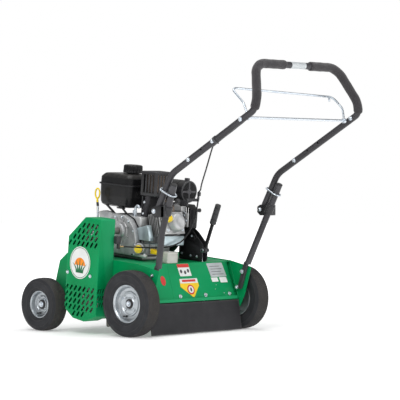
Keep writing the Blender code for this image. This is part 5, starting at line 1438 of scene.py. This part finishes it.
def make_small_engine_parts():
    """Oil plugs, the dipstick, plated shields, the canister and a yellow wedge."""
    for name, node, start, end, radius in (
            ("drain_cap", "oil_drain_plug", (-0.1603, 0.1328, 0.323), (-0.169, 0.1271, 0.323), 0.0162),
            ("fill_cap", "oil_fill_plug", (-0.1128, 0.0255, 0.4577), (-0.0992, 0.0322, 0.4535), 0.0157)):
        direction = Vector(end) - Vector(start)
        deep = direction.length
        cap = lathe([(0, 0.0), (0, radius * 0.9), (0.0012, radius), (deep - 0.0012, radius),
                     (deep, radius * 0.92), (deep, 0.0)], start, direction, 96, ribs=16, rib_depth=0.0009)
        outwards = 1 if node == "oil_drain_plug" else 0
        seat = Vector(start).lerp(Vector(end), outwards)
        knob = hexagon(seat - direction.normalized() * (0.004 * outwards - 0.0005), direction,
                       radius * 0.45, 0.0038)
        piece(name, "yellow", [cap, knob], stands_for=node)
    stick = bar((-0.146, 0.39, 0.4085), (-0.145, 0.4, 0.49), 0.0036)
    loop = [Vector((-0.1455, 0.401 + 0.0125 * cos(2 * pi * k / 40), 0.5205 + 0.02 * sin(2 * pi * k / 40)))
            for k in range(40)]
    neck = bar((-0.1452, 0.399, 0.485), (-0.1455, 0.401, 0.501), 0.0048, 0.004)
    piece("dipstick_handle", "yellow", [sweep(loop, 0.0033, 16, closed=True), neck, stick], "oil_stick",
          stands_for="dipstick")
    piece("dipstick_sheath", "zinc", bar((-0.146, 0.39, 0.4086), (-0.1455, 0.395, 0.47), 0.0043),
          "oil_stick")
    piece("dipstick_collar", "rubber", bar((-0.1455, 0.395, 0.47), (-0.1452, 0.3985, 0.484), 0.0052),
          "oil_stick")
    shield = [(0.06, 0.343), (0.15, 0.343), (0.15, 0.3455), (0.0625, 0.3455), (0.0625, 0.38), (0.06, 0.38)]
    piece("heat_plate", "sheet", prism(shield, -0.118, 0.02, 0.0006), stands_for="heat_shield")
    cowl = [(0.171, 0.358), (0.171, 0.403), (0.113, 0.42), (0.096, 0.372), (0.096, 0.358)]
    piece("cylinder_cowl", "sheet", prism(cowl, -0.14, -0.116, 0.002))
    bolt_set("cowl_screws", [(-0.14, 0.162, 0.368)], (-1, 0, 0), 0.003)
    base = DECK_TOP_Z + 0.0003
    sections = [(z, -0.1 + m, -0.04 - m, 0.028 + m, 0.07 - m, 0.004)
                for z, m in ((base, 0.001), (base + 0.002, 0.0), (0.308, 0.0), (0.3085, 0.0015),
                             (0.311, 0.0015), (0.3115, 0.0), (0.3185, 0.0), (0.32, 0.002))]
    piece("canister", "white", loft_z(sections, 4), stands_for="filter_box")
    bolt_set("canister_bolt", [(-0.07, 0.049, 0.3195)], (0, 0, 1), 0.0032)
    wedge = prism([(0.06, 0.308), (0.06, 0.32), (0.098, 0.328), (0.098, 0.308)], -0.128, -0.104, 0.0015)
    piece("warning_wedge", "label_yellow", wedge)


# ---- height adjustment ----

def make_lever():
    """The lever's bracket, the depth lever with its grip, and the strap to the rear axle."""
    base = DECK_TOP_Z + 0.0003
    outline = rounded_outline([(0.03, base), (0.162, base), (0.164, 0.366), (0.12, 0.4118), (0.083, 0.39),
                               (0.03, 0.344)], 0.012, 5)
    shapes = [prism(outline, 0.1015, 0.104, 0.0006), prism(outline, 0.129, 0.1315, 0.0006),
              box((0.102, 0.086, base), (0.131, 0.161, 0.28), 0.0006),
              box((0.102, 0.158, base), (0.131, 0.161, 0.33), 0.0006)]
    hole = bar((0.09, *LEVER_PIVOT_YZ), (0.14, *LEVER_PIVOT_YZ), 0.0055, edge=0)
    notches = [prism(link_outline(polar(LEVER_PIVOT_YZ, 0.06, radians(a)),
                                  polar(LEVER_PIVOT_YZ, 0.068, radians(a)), 0.0028, 4), 0.095, 0.106)
               for a in (34, 46, 58)]
    piece("lever_cheeks", "black", shapes, cut=[hole, notches], stands_for="lever_bracket")
    strip = rounded_outline([(0.108, 0.386), (0.117, 0.406), (0.13, 0.398), (0.124, 0.378)], 0.002, 3)
    piece("height_strip", "label_yellow", prism(strip, 0.1009, 0.1016))
    spots = ((0.145, 0.3), (0.145, 0.345), (0.095, 0.295), (0.06, 0.295), (0.095, 0.375))
    bolt_set("cheek_bolts", [(0.1015, *spot) for spot in spots], (-1, 0, 0), 0.0036, 0.002)
    pin_yz = polar(LEVER_PIVOT_YZ, 0.03, radians(23.5))
    tip = Vector(LEVER_TIP_YZ) - Vector(LEVER_PIVOT_YZ)
    lean = atan2(tip.y, tip.x)
    stem_end = polar(LEVER_PIVOT_YZ, tip.length - 0.02, lean)
    shapes = [lathe([(0, 0.0052), (0, 0.011), (0.0094, 0.011), (0.0094, 0.0052)],
                    (LEVER_X - 0.006, *LEVER_PIVOT_YZ), (1, 0, 0), 40, closed=True),
              prism(link_outline(LEVER_PIVOT_YZ, stem_end, 0.0075), LEVER_X - 0.003, LEVER_X + 0.003,
                    0.0008),
              prism(link_outline(LEVER_PIVOT_YZ, pin_yz, 0.0085), LEVER_X - 0.0026, LEVER_X + 0.0026,
                    0.0006),
              bar((0.0975, *LEVER_PIVOT_YZ), (0.1355, *LEVER_PIVOT_YZ), 0.005),
              bar((LEVER_X, *pin_yz), (0.126, *pin_yz), 0.004)]
    piece("lever_arm", "black", shapes, "depth_control", stands_for="depth_lever")
    ends = [hexagon((0.101, *LEVER_PIVOT_YZ), (-1, 0, 0), 0.0085, 0.0034),
            hexagon((0.132, *LEVER_PIVOT_YZ), (1, 0, 0), 0.0085, 0.0034)]
    piece("lever_nuts", "zinc", ends, "depth_control")
    start = polar(LEVER_PIVOT_YZ, tip.length - 0.085, lean)
    sleeve = lathe([(0, 0.008), (0, 0.0122), (0.0015, 0.0129), (0.02, 0.0127), (0.0204, 0.0114),
                    (0.023, 0.0114), (0.0234, 0.0126), (0.044, 0.0124), (0.0444, 0.0112), (0.047, 0.0112),
                    (0.0474, 0.0123), (0.068, 0.0121), (0.0684, 0.011), (0.071, 0.011), (0.0714, 0.012),
                    (0.082, 0.0118), (0.0845, 0.0095), (0.085, 0.0)], (LEVER_X, *start), Vector((0, *tip)),
                   48)
    piece("lever_grip", "plastic", sleeve, "depth_control")
    low_pin = polar(LIFT_PIVOT_YZ, 0.05, radians(166))
    strap = prism(link_outline(low_pin, pin_yz, 0.0088), 0.119, 0.1225, 0.0005)
    holes = [bar((0.11, *low_pin), (0.13, *low_pin), 0.0095, sides=40, edge=0),
             bar((0.11, *pin_yz), (0.13, *pin_yz), 0.0045, edge=0)]
    piece("lift_strap", "zinc", strap, "lift_rod", cut=holes, stands_for="lift_link")
    ring = lathe([(0, 0.0095), (0, 0.0148), (0.0035, 0.0148), (0.0035, 0.0095)], (0.119, *low_pin),
                 (1, 0, 0), 48, closed=True)
    piece("lift_eye", "zinc", ring, "lift_rod")


# ---- control cable ----

def make_cables():
    """The control cable in three runs: on the chassis, over the fold and on the handle."""
    lower = smooth_route([(-0.2292, 0.15, 0.333), (-0.22, 0.149, 0.333), (-0.2, 0.12, 0.334),
                          (-0.16, 0.092, 0.334), (-0.11, 0.062, 0.336), (-0.06, 0.048, 0.343),
                          (-0.015, 0.044, 0.358), (0.015, 0.046, 0.378), (0.04, 0.048, 0.405),
                          (0.062, 0.05, 0.445), (0.078, 0.053, 0.5), (0.086, 0.058, 0.535),
                          (0.088, 0.06, 0.545)], 0.005)
    piece("cable_on_chassis", "gloss_black", sweep(lower, CABLE_R, 16), stands_for="cable_lower")
    tip = CHASSIS @ Vector((0.088, 0.06, 0.545))
    rise = (tip - CHASSIS @ Vector((0.086, 0.058, 0.535))).normalized()
    ferrule = lathe([(0, 0.0031), (0, 0.005), (0.012, 0.005), (0.014, 0.0031)], tip - rise * 0.02, rise, 28,
                    closed=True)
    piece("cable_ferrule", "black", ferrule, place=LEVEL)
    span = smooth_route([tip + rise * 0.0016, tip + rise * 0.01, (0.055, 0.0, 0.569),
                         (-0.005, -0.064, 0.594), (-0.12, -0.196, 0.65), (-0.23, -0.3225, 0.707),
                         (-0.27, -0.369, 0.728), (-0.28, -0.38, 0.733)], 0.005)
    bridge = piece("cable_bridge", "gloss_black", sweep(span, CABLE_R, 16), None, LEVEL, "cable_span")
    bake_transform(bridge)
    upper = smooth_route([(-0.2808, -0.3816, 0.7338), (-0.282, -0.43, 0.762), (-0.28, -0.5, 0.802),
                          (-0.264, -0.535, 0.835), (-0.26, -0.528, 0.87)], 0.005)
    piece("cable_on_handle", "gloss_black", sweep(upper, CABLE_R, 16), "handle", LEVEL, "cable_upper")


make_stage()
make_deck()
make_flap()
make_belt_guard()
make_badge()
make_wheels()
make_axles()
make_lower_tubes()
make_upper_handle()
make_grips()
make_lock_rings()
make_bail()
make_rotor()
make_belt_drive()
make_crankcase()
make_cylinder()
make_starter()
make_fuel_tank()
make_exhaust()
make_intake()
make_small_engine_parts()
make_lever()
make_cables()
